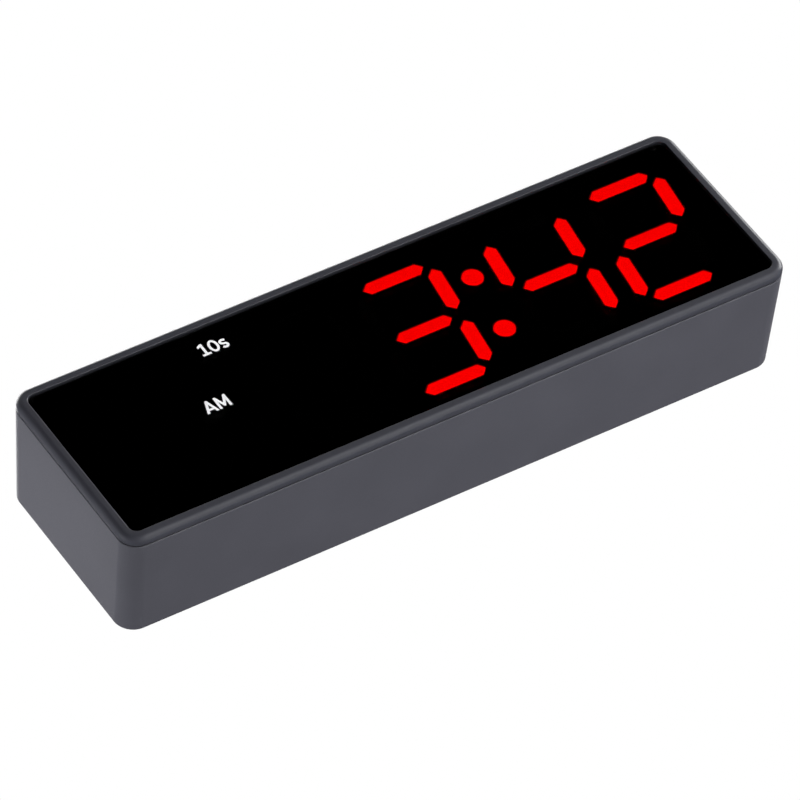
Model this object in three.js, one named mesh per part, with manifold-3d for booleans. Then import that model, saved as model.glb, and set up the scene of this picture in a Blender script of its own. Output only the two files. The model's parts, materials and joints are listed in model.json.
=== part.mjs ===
// Slim LED alarm clock, standing on its long narrow side.
//
// X runs along the clock to the reader's right, Y from the display to the back, Z up; millimetres.
// Inside the clock's group the origin is the centre of the front face, so `y` there is the depth
// behind the front. Every solid is built in that frame, or at a repeated piece's own origin.

import * as THREE from 'three';
import { mergeVertices } from 'three/addons/utils/BufferGeometryUtils.js';
import Module from 'manifold-3d';

const wasm = await Module();
wasm.setup();

// ------------------------------------------------------------------ overall size and fits

const LENGTH = 150.5; // along X, over the bezel
const HEIGHT = 44.5; // along Z, over the bezel
const DEPTH = 26.5; // along Y, from the bezel's front to the back

const FIT_GAP = 0.3; // between pieces that sit in or on one another
const SOLDER_GAP = 0.1; // between a board and what is soldered to it
const OVERRUN = 1; // how far a cutting solid runs past the face it opens

// ------------------------------------------------------------------ bezel and lens

const CORNER_RADIUS = 4; // bezel corners, seen from the front
const RIM_WIDTH = 2.2; // frame seen round the lens
const BEZEL_SIDE = 2; // depth of the bezel's visible side
const BEZEL_EDGE = 1.2; // rounding of its front outer edge
const LENS_RECESS = 0.6; // lens face behind the bezel's front
const LENS_THICKNESS = 2;
const LENS_GAP = 0.15; // glue line, round and behind the lens
const LEDGE_WIDTH = 1.2;
const LEDGE_THICKNESS = 1.5;
const SKIRT_INSET = 1.4; // the skirt that plugs into the housing, in from the bezel's side
const SKIRT_WALL = 1.2;
const SKIRT_DEPTH = 3;
const POST_RADIUS = 2.3;
const CATCH_LENGTH = 8;
const CATCH_HEIGHT = 0.4;
const CATCH_DEPTH = 0.8;
const CATCH_SETBACK = 1.7; // behind the bezel's side
const CATCH_PITCH = 45;

// ------------------------------------------------------------------ housing

const HOUSING_DRAFT = 0.55; // in from the bezel's side at the back, all round
const REAR_CORNER_RADIUS = 4.2;
const REAR_EDGE = 0.6; // rounding of the back's outer edge
const WALL = 2;
const LIP_DEPTH = 3.4; // thin front lip that takes the bezel's skirt

// ------------------------------------------------------------------ digits

const SLANT = Math.tan(THREE.MathUtils.degToRad(8));
const DIGIT_PITCH = 23.45; // within a pair of digits
const COLON_PITCH = 29.25; // across the colon
const LAST_DIGIT_INSET = 15.75; // last digit's centre, in from the lens opening's end
const DIGIT_RISE = 0.07; // digits' middle, above the clock's
const SEGMENT_ROW = 14.25; // between rows of horizontal segments
const SEGMENT_COLUMN = 8.2; // vertical segments, out from the digit's centre
const SEGMENT_UPRIGHT = 7.3; // vertical segments' centres, above and below the digit's centre
const WELL_GAP = 0.15; // between a bar and its well in the reflector
const DOT_RADIUS = 2.17;
const DOT_OFFSET = 0.2; // colon, right of the middle of its two digits

// Outlines of the top, middle and upper right bars about their centres, as [x, z] before slanting.
const OUTER_BAR = [[-6.82, 0.1], [-5.55, -1.32], [5.55, -1.32], [6.82, 0.1], [5.5, 1.47], [-5.5, 1.47]];
const MIDDLE_BAR = [[-6.28, 0], [-4.95, -1.4], [4.95, -1.4], [6.28, 0], [5.05, 1.35], [-5.05, 1.35]];
const UPRIGHT_BAR = [[-1.4, -4.18], [0.05, -5.53], [1.48, -4.18], [1.46, 4.3], [0.05, 5.65], [-1.4, 4.3]];

const LIT_SEGMENTS = { hours: 'abcdg', minute_tens: 'bcfg', minute_units: 'abdeg' };
const DIGITS = ['ten_hours', 'hours', 'minute_tens', 'minute_units'];

// ------------------------------------------------------------------ lit legends

const LEGEND_HEIGHT = 3.2;
const LEGEND_STROKE = 0.54;
const LEGEND_RAISE = 0.4; // letters above their light guide
const LEGEND_PLATE = 1;
const LEGEND_MARGIN = 0.4; // light guide beyond the letters
const LETTER_GAP = 0.16;
const ZERO = { width: 0.67, steps: 24 }; // round letters, in letter heights
const SMALL_S = { width: 0.55, bowl: 0.152, steps: 7 };

// Strokes of the straight letters in a cell one unit high, as [x, z] points, and their widths.
const LETTERS = {
  1: {
    width: 0.58,
    strokes: [[[0.29, 0], [0.29, 1]], [[-0.05, 0.76], [0.29, 0.92]], [[0, 0.085], [0.58, 0.085]]],
  },
  A: {
    width: 0.83,
    strokes: [[[0.06, -0.1], [0.415, 0.94], [0.77, -0.1]], [[0.2, 0.27], [0.63, 0.27]]],
  },
  M: {
    width: 0.87,
    strokes: [[[0.09, 0], [0.11, 0.94], [0.435, 0.2], [0.76, 0.94], [0.78, 0]]],
  },
};

const TIMER_LEGEND = { inset: 36.6, rise: 14.2 }; // left end, in from the lens opening; base line
const MORNING_LEGEND = { inset: 29.25, rise: 0.8 };

// ------------------------------------------------------------------ boards and electronics

const BOARD_THICKNESS = 1.6;
const BOARD_BAY_GAP = 0.8; // between the display board and the battery bay
const MAIN_BOARD = { left: 3, right: 4, top: 2.8, bottom: 2 }; // room left round the main board
const BOSS_INSET = { x: 4.5, z: 4 }; // screw bosses, in from the main board's edges
const DIFFUSER_SHEET = 0.5;
const LED_SIZE = { x: 2, y: 0.8, z: 1.2 };
const SCREW = { shank: 0.9, head: 1.8, depth: 1.2, rim: 0.6, bevel: 0.5, cross: 1, slot: 0.2 };
const SCREW_STOP = 0.6; // solid post left past the thread's tip
const PILOT_GAP = 0.05;
const SWITCH_WIDTH = 6;
const SWITCH_HEIGHT = 2;
const SNOOZE_SWITCH_HEIGHT = 4;

// Electronics; x is the place from the main board's left edge, from its right edge on the socket and
// the ribbon.
const CHIP = { length: 17.9, height: 2.3, width: 7.5, legs: 14, pitch: 1.27, leg: 0.45, reach: 1.5 };
const DRIVER_CHIP = { x: 30, z: 0 };
const CLOCK_CHIP = { x: 36, z: -2 };
const CRYSTAL = { x: 53, z: 9, radius: 1.5, length: 8, lead: 0.4, spread: 1.2 };
const SOUNDER = { x: 18, z: -8, side: 9, depth: 3, mouth: 1.2, corner: 1 };
const SOCKET = { x: 16, z: -8, width: 9, height: 3.3, wall: 0.35, base: 1 };
const TONGUE = { width: 6.7, height: 0.7 }; // inside the socket
const RIBBON = { x: 14, lowZ: -12, highZ: 4, width: 10, thickness: 0.6 };
const PLUG = { width: 12, height: 4, depth: 3 };

// ------------------------------------------------------------------ battery bay

const CELL_DIAMETER = 10.5;
const CELL_LENGTH = 44.5;
const CELL_COUNT = 3;
const CELL_GAP = 0.3;
const CELL_NUB = { radius: 1.9, height: 1 };
const CELL_RIM = 0.5; // bevel at a cell's ends
const PLATE_THICKNESS = 0.5; // contact plates
const PLATE_SIDE = 8.5;
const SPRING_LENGTH = 3;
const SPRING = { turns: 2.5, foot: 3.4, tip: 2.2, wire: 0.25 };
const NIB_LENGTH = 0.5;
const NIB_RADIUS = 2.5;
const TAIL = { y: 1, z: 2, reach: 1.5 }; // terminal's tail, through the bay's wall
const WIRE = { radius: 0.5, sides: 6, bend: 1.6, slack: 1.2, behind: 2.35 };
const BAY_WALL = 1.2;
const BAY_FROM_END = 8.8; // bay's outer wall, in from the clock's left end
const BAY_TOP_CLEAR = 2.5; // room over the bay for the snooze bar's travel
const DOOR_THICKNESS = 1.5;
const DOOR_LEDGE = 1;
const DOOR_CLEAR = 0.4; // between the door and the cells
const TAB_WIDTH = 6;
const TAB_REACH = 1.8; // hinge tab, under the wall
const TAB_THICKNESS = 1.1;
const TAB_SPACING = 30;
const LATCH_WIDTH = 9;
const GRIP = { radius: 6, depth: 0.7, rise: 2.2 }; // half-round finger grip at the door's bottom
const GRIP_RIBS = { count: 3, pitch: 1.5, width: 0.6, length: 7 };

// ------------------------------------------------------------------ controls

const SNOOZE = { length: 56, width: 8, travel: 0.8, sink: 0.1, flange: 0.9, edge: 0.6 };
const SNOOZE_AHEAD = 0.9; // bar's middle, in front of its switch
const FLANGE_WIDTH = 1; // flange beyond the cap, on the snooze bar and the keys
const KEY = { length: 8, width: 4.5, travel: 0.5, sink: 0.15, flange: 0.8, edge: 0.4, pitch: 14, count: 4 };
const KEY_FIRST = 19; // first key's centre, right of the main board's left edge
const KEY_RISE = 9;
const PLUNGER_RADIUS = 1.1;
const PLUNGER_SINK = 0.6; // plunger in its switch, at rest
const SOUND_HOLE_RADIUS = 0.65;
const SOUND_HOLE_PITCH = 2.4;

// ------------------------------------------------------------------ worked-out places

const openingX = LENGTH / 2 - RIM_WIDTH; // half sizes of the lens opening
const openingZ = HEIGHT / 2 - RIM_WIDTH;
const lensBack = LENS_RECESS + LENS_THICKNESS;
const ledgeFront = lensBack + LENS_GAP;
const innerX = LENGTH / 2 - HOUSING_DRAFT - WALL; // half sizes of the housing's hollow
const innerZ = HEIGHT / 2 - HOUSING_DRAFT - WALL;
const housingFront = BEZEL_SIDE + FIT_GAP;
const backInner = DEPTH - WALL;

const doorInner = DEPTH - DOOR_THICKNESS;
const bayFloor = doorInner - DOOR_CLEAR - CELL_DIAMETER - CELL_GAP;
const bayLeft = -LENGTH / 2 + BAY_FROM_END + BAY_WALL; // inner faces of the bay
const bayRight = bayLeft + CELL_LENGTH + 2 * PLATE_THICKNESS + SPRING_LENGTH + NIB_LENGTH + 4 * CELL_GAP;
const bayTop = innerZ - BAY_TOP_CLEAR - BAY_WALL;
const bayBottom = bayTop - CELL_COUNT * CELL_DIAMETER - (CELL_COUNT + 1) * CELL_GAP;
const cellY = bayFloor + CELL_GAP + CELL_DIAMETER / 2;
const cellZ = (row) => bayTop - CELL_GAP - CELL_DIAMETER / 2 - row * (CELL_DIAMETER + CELL_GAP);

const displayBoardBack = bayFloor - BAY_WALL - BOARD_BAY_GAP;
const displayBoardFront = displayBoardBack - BOARD_THICKNESS;
const diffuserBack = displayBoardFront - SOLDER_GAP;
const diffuserFront = diffuserBack - DIFFUSER_SHEET;
const reflectorFront = lensBack + FIT_GAP;
const reflectorBack = diffuserFront - SOLDER_GAP;
const screwTip = ledgeFront + LEDGE_THICKNESS + SCREW_STOP;
const barBack = displayBoardFront - LED_SIZE.y - FIT_GAP;
const postX = innerX - FIT_GAP - POST_RADIUS;
const postZ = innerZ - FIT_GAP - POST_RADIUS;
const postCorners = [[-1, 1], [1, 1], [-1, -1], [1, -1]].map(([sx, sz]) => [sx * postX, sz * postZ]);

const digitZ = DIGIT_RISE;
const digitX = {};
digitX.minute_units = openingX - LAST_DIGIT_INSET;
digitX.minute_tens = digitX.minute_units - DIGIT_PITCH;
digitX.hours = digitX.minute_tens - COLON_PITCH;
digitX.ten_hours = digitX.hours - DIGIT_PITCH;
const colonX = (digitX.hours + digitX.minute_tens) / 2 + DOT_OFFSET;

const flangeTop = innerZ - FIT_GAP;
const flangeBottom = flangeTop - SNOOZE.flange;

const keyFlangeBack = backInner - FIT_GAP;
const keyFlangeFront = keyFlangeBack - KEY.flange;
const switchTop = keyFlangeFront - KEY.travel - FIT_GAP;
const mainBoardBack = switchTop - SWITCH_HEIGHT - SOLDER_GAP;
const mainBoardFront = mainBoardBack - BOARD_THICKNESS;
const mainBoardLeft = bayRight + BAY_WALL + MAIN_BOARD.left;
const mainBoardRight = innerX - MAIN_BOARD.right;
const mainBoardTop = flangeBottom - SNOOZE.travel - MAIN_BOARD.top;
const mainBoardBottom = -innerZ + MAIN_BOARD.bottom;
const snoozeX = 0;
const snoozeSwitchY = mainBoardFront - SOLDER_GAP - SWITCH_WIDTH / 2;
const snoozeY = snoozeSwitchY - SNOOZE_AHEAD;
const keyX = (index) => mainBoardLeft + KEY_FIRST + index * KEY.pitch;
const keyNumbers = Array.from({ length: KEY.count }, (_, number) => number);
const sounderX = mainBoardLeft + SOUNDER.x;
const socketX = mainBoardRight - SOCKET.x;
const bossSpots = [
  [mainBoardLeft + BOSS_INSET.x, mainBoardBottom + BOSS_INSET.z],
  [mainBoardRight - BOSS_INSET.x, mainBoardTop - BOSS_INSET.z],
  [mainBoardRight - BOSS_INSET.x, mainBoardBottom + BOSS_INSET.z],
];

// ------------------------------------------------------------------ solids

/** A closed geometry as a solid that can be joined and cut. */
function solid(geometry) {
  const bare = geometry.index ? geometry.toNonIndexed() : geometry.clone();
  bare.deleteAttribute('normal');
  bare.deleteAttribute('uv');
  const merged = mergeVertices(bare, 1e-4);
  return new wasm.Manifold(new wasm.Mesh({
    numProp: 3,
    vertProperties: Float32Array.from(merged.attributes.position.array),
    triVerts: Uint32Array.from(merged.index.array),
  }));
}

const join = (...parts) => parts.flat().reduce((whole, part) => whole.add(part));
const cut = (whole, ...tools) => tools.flat().reduce((rest, tool) => rest.subtract(tool), whole);

/** Box between two values on each axis. */
function block([x0, x1], [y0, y1], [z0, z1]) {
  const box = new THREE.BoxGeometry(x1 - x0, y1 - y0, z1 - z0);
  return solid(box.translate((x0 + x1) / 2, (y0 + y1) / 2, (z0 + z1) / 2));
}

/** Round bar along Y. */
function rod(x, z, radius, y0, y1, sides = 12) {
  const bar = new THREE.CylinderGeometry(radius, radius, y1 - y0, sides);
  return solid(bar.translate(x, (y0 + y1) / 2, z));
}

/** Straight-sided solid over an outline of [x, z] points, from depth y0 to depth y1. */
function prism(outline, y0, y1) {
  const shape = new THREE.Shape(outline.map(([x, z]) => new THREE.Vector2(x, z)));
  const body = new THREE.ExtrudeGeometry(shape, { depth: y1 - y0, bevelEnabled: false });
  return solid(body.rotateX(Math.PI / 2).translate(0, y1, 0));
}

/** Rounded rectangle as [x, z] points, counter-clockwise seen from the front. */
function roundedOutline(halfX, halfZ, radius, steps = 6) {
  const points = [];
  [[1, 1, 0], [-1, 1, 1], [-1, -1, 2], [1, -1, 3]].forEach(([sx, sz, quarter]) => {
    for (let step = 0; step <= steps; step += 1) {
      const angle = ((quarter + step / steps) * Math.PI) / 2;
      points.push([
        sx * (halfX - radius) + radius * Math.cos(angle),
        sz * (halfZ - radius) + radius * Math.sin(angle),
      ]);
    }
  });
  return points;
}

const moved = (outline, dx, dz) => outline.map(([x, z]) => [x + dx, z + dz]);

/** Slot shape: a rectangle with fully round ends, nudged so that no side has zero length. */
const slotOutline = (length, width, steps = 5) =>
  roundedOutline(length / 2, width / 2, width / 2 - 0.01, steps);

/** Closed surface through outlines that all have as many points: [{ y, outline }], front to back. */
function loft(sections) {
  const count = sections[0].outline.length;
  const positions = sections.flatMap(({ y, outline }) => outline.flatMap(([x, z]) => [x, y, z]));
  const triangles = [];
  for (let ring = 0; ring < sections.length - 1; ring += 1) {
    for (let point = 0; point < count; point += 1) {
      const here = ring * count + point;
      const next = ring * count + ((point + 1) % count);
      triangles.push(here, here + count, next + count, here, next + count, next);
    }
  }
  const last = (sections.length - 1) * count;
  for (let point = 1; point < count - 1; point += 1) {
    triangles.push(0, point, point + 1, last, last + point + 1, last + point);
  }
  const geometry = new THREE.BufferGeometry();
  geometry.setAttribute('position', new THREE.Float32BufferAttribute(positions, 3));
  geometry.setIndex(triangles);
  return solid(geometry);
}

/** Sections that round an edge of the given radius: fractions of the radius, inwards and along. */
const roundingSteps = [0, 1, 2].map((step) => {
  const angle = (step / 2) * (Math.PI / 2);
  return { inset: 1 - Math.sin(angle), along: 1 - Math.cos(angle) };
});

// ------------------------------------------------------------------ materials

const plastic = (color, roughness) => new THREE.MeshStandardMaterial({ color, roughness });
const metal = (color, roughness) => new THREE.MeshStandardMaterial({ color, roughness, metalness: 1 });
const glowing = (color) => new THREE.MeshStandardMaterial({ color, roughness: 0.4, emissive: color });

const MATERIALS = {
  housing: plastic(0x4d4e54, 0.6),
  bezel: plastic(0x46474f, 0.45),
  lens: plastic(0x050505, 0.08),
  reflector: plastic(0x0a0a0a, 0.7),
  diffuser: plastic(0xd8d8d4, 0.5),
  red: glowing(0xff0000),
  white: glowing(0xffffff),
  board: plastic(0x1d5a34, 0.5),
  chip: plastic(0x16161a, 0.4),
  switches: plastic(0x1c1c1f, 0.5),
  steel: metal(0xb9bcc0, 0.3),
  nickel: metal(0xc9c6bd, 0.25),
  controls: plastic(0x3b3c42, 0.5),
  cell: plastic(0x2f6f9f, 0.35),
  ribbon: plastic(0xd9d9dc, 0.5),
  redWire: plastic(0xb01818, 0.5),
  blackWire: plastic(0x141414, 0.5),
};

/** A named piece of the clock. */
function piece(name, shape, material, place = [0, 0, 0]) {
  const { vertProperties, triVerts } = shape.getMesh();
  const geometry = new THREE.BufferGeometry();
  geometry.setAttribute('position', new THREE.Float32BufferAttribute(vertProperties, 3));
  geometry.setIndex(Array.from(triVerts));
  geometry.computeVertexNormals();
  const mesh = new THREE.Mesh(geometry, material);
  mesh.name = name;
  mesh.position.set(...place);
  return mesh;
}

// ------------------------------------------------------------------ bezel, lens

function bezelShape() {
  const side = (y, inset) => ({
    y,
    outline: roundedOutline(LENGTH / 2 - inset, HEIGHT / 2 - inset, CORNER_RADIUS - inset),
  });
  const front = roundingSteps.map(({ inset, along }) => side(along * BEZEL_EDGE, inset * BEZEL_EDGE));
  const ring = loft([...front, side(BEZEL_SIDE, 0)]);

  const skirtX = LENGTH / 2 - SKIRT_INSET;
  const skirtZ = HEIGHT / 2 - SKIRT_INSET;
  const skirtBack = BEZEL_SIDE + SKIRT_DEPTH;
  const ledgeBack = ledgeFront + LEDGE_THICKNESS;
  const skirt = prism(
    roundedOutline(skirtX, skirtZ, CORNER_RADIUS - SKIRT_INSET), BEZEL_SIDE - OVERRUN, skirtBack,
  );
  const pocket = prism(
    roundedOutline(openingX, openingZ, CORNER_RADIUS - RIM_WIDTH), -OVERRUN, ledgeFront,
  );
  const window = block(
    [-openingX + LEDGE_WIDTH, openingX - LEDGE_WIDTH],
    [ledgeFront - OVERRUN, skirtBack + OVERRUN],
    [-openingZ + LEDGE_WIDTH, openingZ - LEDGE_WIDTH],
  );
  const hollow = prism(
    roundedOutline(skirtX - SKIRT_WALL, skirtZ - SKIRT_WALL, CORNER_RADIUS - SKIRT_INSET - SKIRT_WALL / 2),
    ledgeBack,
    skirtBack + OVERRUN,
  );
  const posts = postCorners.map(([x, z]) =>
    rod(x, z, POST_RADIUS, ledgeFront, displayBoardFront - SOLDER_GAP));
  const webs = postCorners.map(([x, z]) => block(
    [x, Math.sign(x) * (skirtX - SKIRT_WALL / 2)].sort((a, b) => a - b),
    [ledgeFront, skirtBack],
    [z - POST_RADIUS / 2, z + POST_RADIUS / 2],
  ));
  const pilots = postCorners.map(([x, z]) =>
    rod(x, z, SCREW.shank + PILOT_GAP, screwTip - PILOT_GAP, displayBoardFront + OVERRUN));
  const catches = catchSpots().map(([x, side]) => block(
    [x - CATCH_LENGTH / 2, x + CATCH_LENGTH / 2],
    [BEZEL_SIDE + CATCH_SETBACK, BEZEL_SIDE + CATCH_SETBACK + CATCH_DEPTH],
    [side * (skirtZ - SKIRT_WALL / 2), side * (skirtZ + CATCH_HEIGHT)].sort((a, b) => a - b),
  ));
  return cut(join(cut(join(ring, skirt), pocket, window, hollow), posts, webs, catches), pilots);
}

/** Snap catches along the long sides: [x, side]. */
function catchSpots() {
  return [-1, 0, 1].flatMap((step) => [1, -1].map((side) => [step * CATCH_PITCH, side]));
}

function lensShape() {
  return prism(
    roundedOutline(openingX - LENS_GAP, openingZ - LENS_GAP, CORNER_RADIUS - RIM_WIDTH - LENS_GAP),
    LENS_RECESS,
    lensBack,
  );
}

// ------------------------------------------------------------------ segments

const slanted = (outline) => outline.map(([x, z]) => [x + z * SLANT, z]);
const upsideDown = (outline) => outline.map(([x, z]) => [x, -z]).reverse();
const mirrored = (outline) => outline.map(([x, z]) => [-x, z]).reverse();

/** Outline of one segment (a to g) about its digit's centre, slanted. */
function segmentOutline(segment) {
  const outlines = {
    a: moved(OUTER_BAR, 0, SEGMENT_ROW),
    b: moved(UPRIGHT_BAR, SEGMENT_COLUMN, SEGMENT_UPRIGHT),
    c: moved(upsideDown(UPRIGHT_BAR), SEGMENT_COLUMN, -SEGMENT_UPRIGHT),
    d: moved(upsideDown(OUTER_BAR), 0, -SEGMENT_ROW),
    e: moved(mirrored(upsideDown(UPRIGHT_BAR)), -SEGMENT_COLUMN, -SEGMENT_UPRIGHT),
    f: moved(mirrored(UPRIGHT_BAR), -SEGMENT_COLUMN, SEGMENT_UPRIGHT),
    g: MIDDLE_BAR,
  };
  return slanted(outlines[segment]);
}

/** The outline pushed outwards by a margin, for the well round a bar. */
function grown(outline, margin) {
  return outline.map((point, index) => {
    const before = outline[(index + outline.length - 1) % outline.length];
    const after = outline[(index + 1) % outline.length];
    const edge = (from, to) => new THREE.Vector2(to[0] - from[0], to[1] - from[1]).normalize();
    const into = edge(before, point);
    const out = edge(point, after);
    const turn = 1 + into.dot(out);
    return [
      point[0] + (margin * (into.y + out.y)) / turn,
      point[1] - (margin * (into.x + out.x)) / turn,
    ];
  });
}

const segmentSpots = DIGITS.flatMap((digit) => [...'abcdefg'].map((segment) => ({
  digit,
  segment,
  lit: (LIT_SEGMENTS[digit] ?? '').includes(segment),
  outline: moved(segmentOutline(segment), digitX[digit], digitZ),
})));

const dotSpots = [['upper', 1], ['lower', -1]].map(([name, side]) => ({
  name: `colon_dot_${name}`,
  x: colonX + side * SEGMENT_UPRIGHT * SLANT,
  z: digitZ + side * SEGMENT_UPRIGHT,
}));

const centreOf = (outline) => [0, 1].map((axis) =>
  outline.reduce((sum, point) => sum + point[axis], 0) / outline.length);

// ------------------------------------------------------------------ legends


/** A band of constant width along points, closed or open, as solids joined at each corner. */
function stroke(points, width, y0, y1) {
  const bars = points.slice(1).map((end, index) => {
    const start = points[index];
    const along = new THREE.Vector2(end[0] - start[0], end[1] - start[1]).setLength(width / 2);
    return prism([
      [start[0] + along.y, start[1] - along.x],
      [end[0] + along.y, end[1] - along.x],
      [end[0] - along.y, end[1] + along.x],
      [start[0] - along.y, start[1] + along.x],
    ], y0, y1);
  });
  const elbows = points.slice(1, -1).map(([x, z]) => rod(x, z, width / 2, y0, y1, 8));
  return join(bars, elbows);
}

/** Points round part of an ellipse, angles in quarter turns. */
function arcPoints(cx, cz, radiusX, radiusZ, from, to, steps) {
  return Array.from({ length: steps + 1 }, (_, step) => {
    const angle = ((from + ((to - from) * step) / steps) * Math.PI) / 2;
    return [cx + radiusX * Math.cos(angle), cz + radiusZ * Math.sin(angle)];
  });
}

/** One letter with its left edge at x, its base line at z, and its own width. */
function letter(character, x, z, y0, y1) {
  const size = LEGEND_HEIGHT;
  const half = LEGEND_STROKE / 2;
  if (character === '0') {
    const width = ZERO.width * size;
    const ellipse = (inset) => arcPoints(
      x + width / 2, z + size / 2, width / 2 - inset, size / 2 - inset, 0, 4, ZERO.steps,
    ).slice(1);
    const counter = prism(ellipse(LEGEND_STROKE), y0 - OVERRUN, y1 + OVERRUN);
    return { width, shape: cut(prism(ellipse(0), y0, y1), counter) };
  }
  if (character === 's') {
    const width = SMALL_S.width * size;
    const bowl = SMALL_S.bowl * size;
    const arc = (rise, from, to) =>
      arcPoints(x + width / 2, z + half + rise, width / 2 - half, bowl, from, to, SMALL_S.steps);
    const spine = [...arc(3 * bowl, 0.3, 3), ...arc(bowl, 1, -1.7).slice(1)];
    return { width, shape: stroke(spine, LEGEND_STROKE, y0, y1) };
  }
  const { width, strokes } = LETTERS[character];
  const shapes = strokes.map((points) =>
    stroke(points.map(([px, pz]) => [x + px * size, z + pz * size]), LEGEND_STROKE, y0, y1));
  const band = block([x, x + width * size], [y0, y1], [z, z + size]);
  return { width: width * size, shape: join(shapes).intersect(band) };
}

/** Lit legend: raised letters on a light guide. */
function legend(text, x, z) {
  const plateFront = reflectorFront + LEGEND_RAISE;
  let pen = x;
  const letters = [...text].map((character) => {
    const { width, shape } = letter(character, pen, z, reflectorFront, plateFront + LEGEND_PLATE / 2);
    pen += width + LETTER_GAP;
    return shape;
  });
  const right = pen - LETTER_GAP;
  const frame = {
    x: [x - LEGEND_MARGIN, right + LEGEND_MARGIN],
    z: [z - LEGEND_MARGIN, z + LEGEND_HEIGHT + LEGEND_MARGIN],
  };
  const plate = block(frame.x, [plateFront, plateFront + LEGEND_PLATE], frame.z);
  return { frame, shape: join(plate, letters) };
}

const timerLegend = legend('10s', -openingX + TIMER_LEGEND.inset, digitZ + TIMER_LEGEND.rise);
const morningLegend = legend('AM', -openingX + MORNING_LEGEND.inset, digitZ + MORNING_LEGEND.rise);
const legends = [timerLegend, morningLegend];

// ------------------------------------------------------------------ display

/** Where the LEDs stand: the middle of each well. */
const ledSpots = [
  ...segmentSpots.map(({ outline }) => centreOf(outline)),
  ...dotSpots.map(({ x, z }) => [x, z]),
  ...legends.map(({ frame }) => [(frame.x[0] + frame.x[1]) / 2, (frame.z[0] + frame.z[1]) / 2]),
];

const ledBlock = ([x, z], margin, back) => block(
  [x - LED_SIZE.x / 2 - margin, x + LED_SIZE.x / 2 + margin],
  [displayBoardFront - LED_SIZE.y - margin, back],
  [z - LED_SIZE.z / 2 - margin, z + LED_SIZE.z / 2 + margin],
);

/** Plate that fills the bezel's window and leaves its corners to the posts. */
function windowPlate(y0, y1) {
  const halfX = openingX - LEDGE_WIDTH - FIT_GAP;
  const halfZ = openingZ - LEDGE_WIDTH - FIT_GAP;
  const notchX = postX - POST_RADIUS - FIT_GAP;
  const notchZ = postZ - POST_RADIUS - FIT_GAP;
  return join(
    block([-halfX, halfX], [y0, y1], [-notchZ, notchZ]),
    block([-notchX, notchX], [y0, y1], [-halfZ, halfZ]),
  );
}

/** Wells of some segments, dots and legends, as cutting solids between two depths. */
function wells(spots, dots, frames, margin, y0, y1) {
  return [
    ...spots.map(({ outline }) => prism(grown(outline, margin), y0, y1)),
    ...dots.map(({ x, z }) => rod(x, z, DOT_RADIUS + margin, y0, y1, 24)),
    ...frames.map(({ x, z }) =>
      block([x[0] - margin, x[1] + margin], [y0, y1], [z[0] - margin, z[1] + margin])),
  ];
}

const legendFrames = legends.map(({ frame }) => frame);
const litSpots = segmentSpots.filter(({ lit }) => lit);
const unlitSpots = segmentSpots.filter(({ lit }) => !lit);

function reflectorShape() {
  const openings = wells(
    segmentSpots, dotSpots, legendFrames, WELL_GAP, reflectorFront - OVERRUN, reflectorBack + OVERRUN,
  );
  return cut(windowPlate(reflectorFront, reflectorBack), openings, snoozeRoom());
}

/** Room for the snooze bar's flange, pressed, at the top of the display's pieces. */
function snoozeRoom() {
  const halfX = SNOOZE.length / 2 + FLANGE_WIDTH + FIT_GAP;
  const halfY = SNOOZE.width / 2 + FLANGE_WIDTH + FIT_GAP + SOLDER_GAP / 2;
  const bottom = flangeBottom - SNOOZE.travel - FIT_GAP;
  return block([snoozeX - halfX, snoozeX + halfX], [snoozeY - halfY, snoozeY + halfY], [bottom, HEIGHT]);
}

/** Sheet behind the reflector with the unlit bars standing on it, open at the lit wells. */
function diffuserShape() {
  const bars = unlitSpots.map(({ outline }) =>
    prism(outline, reflectorFront, diffuserFront + DIFFUSER_SHEET / 2));
  const openings = wells(
    litSpots, dotSpots, legendFrames, 0, diffuserFront - SOLDER_GAP / 2, diffuserBack + OVERRUN,
  );
  const ledRoom = ledSpots.map((spot) => ledBlock(spot, SOLDER_GAP, diffuserBack + OVERRUN));
  return cut(join(windowPlate(diffuserFront, diffuserBack), bars), openings, ledRoom, snoozeRoom());
}

/** Circuit board with its screw holes. */
function boardShape([x0, x1], [z0, z1], front, holes) {
  const plate = block([x0, x1], [front, front + BOARD_THICKNESS], [z0, z1]);
  const drills = holes.map(([x, z]) =>
    rod(x, z, SCREW.shank + FIT_GAP, front - OVERRUN, front + BOARD_THICKNESS + OVERRUN));
  return cut(plate, drills);
}

function displayBoardShape() {
  const halfX = innerX - 2 * FIT_GAP;
  const halfZ = innerZ - 2 * FIT_GAP;
  const board = boardShape([-halfX, halfX], [-halfZ, halfZ], displayBoardFront, postCorners);
  const leds = ledSpots.map((spot) => ledBlock(spot, 0, displayBoardFront + BOARD_THICKNESS / 2));
  return join(cut(board, snoozeRoom()), leds);
}

// ------------------------------------------------------------------ housing

const bayMiddle = (bayLeft + bayRight) / 2;
const openingTop = bayTop + DOOR_LEDGE; // the door's opening, top and bottom
const openingBottom = bayBottom - DOOR_LEDGE;
const tabBack = backInner - FIT_GAP;
const tabFront = tabBack - TAB_THICKNESS;
const tabSweep = Math.hypot(DEPTH - tabFront, TAB_REACH); // tab tip's radius about the hinge line
const tabSpots = [-1, 1].map((side) => bayMiddle + (side * TAB_SPACING) / 2);
const latchFront = cellY + CELL_DIAMETER / 3;
const tails = [
  { side: -1, row: 0 },
  { side: 1, row: CELL_COUNT - 1 },
];

/** Housing outline at a depth, drafted towards the back. */
function housingSection(y, inset = 0) {
  const along = (y - housingFront) / (DEPTH - housingFront);
  const setback = HOUSING_DRAFT * along + inset;
  const radius = THREE.MathUtils.lerp(CORNER_RADIUS, REAR_CORNER_RADIUS, along);
  return { y, outline: roundedOutline(LENGTH / 2 - setback, HEIGHT / 2 - setback, radius - inset) };
}

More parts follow.
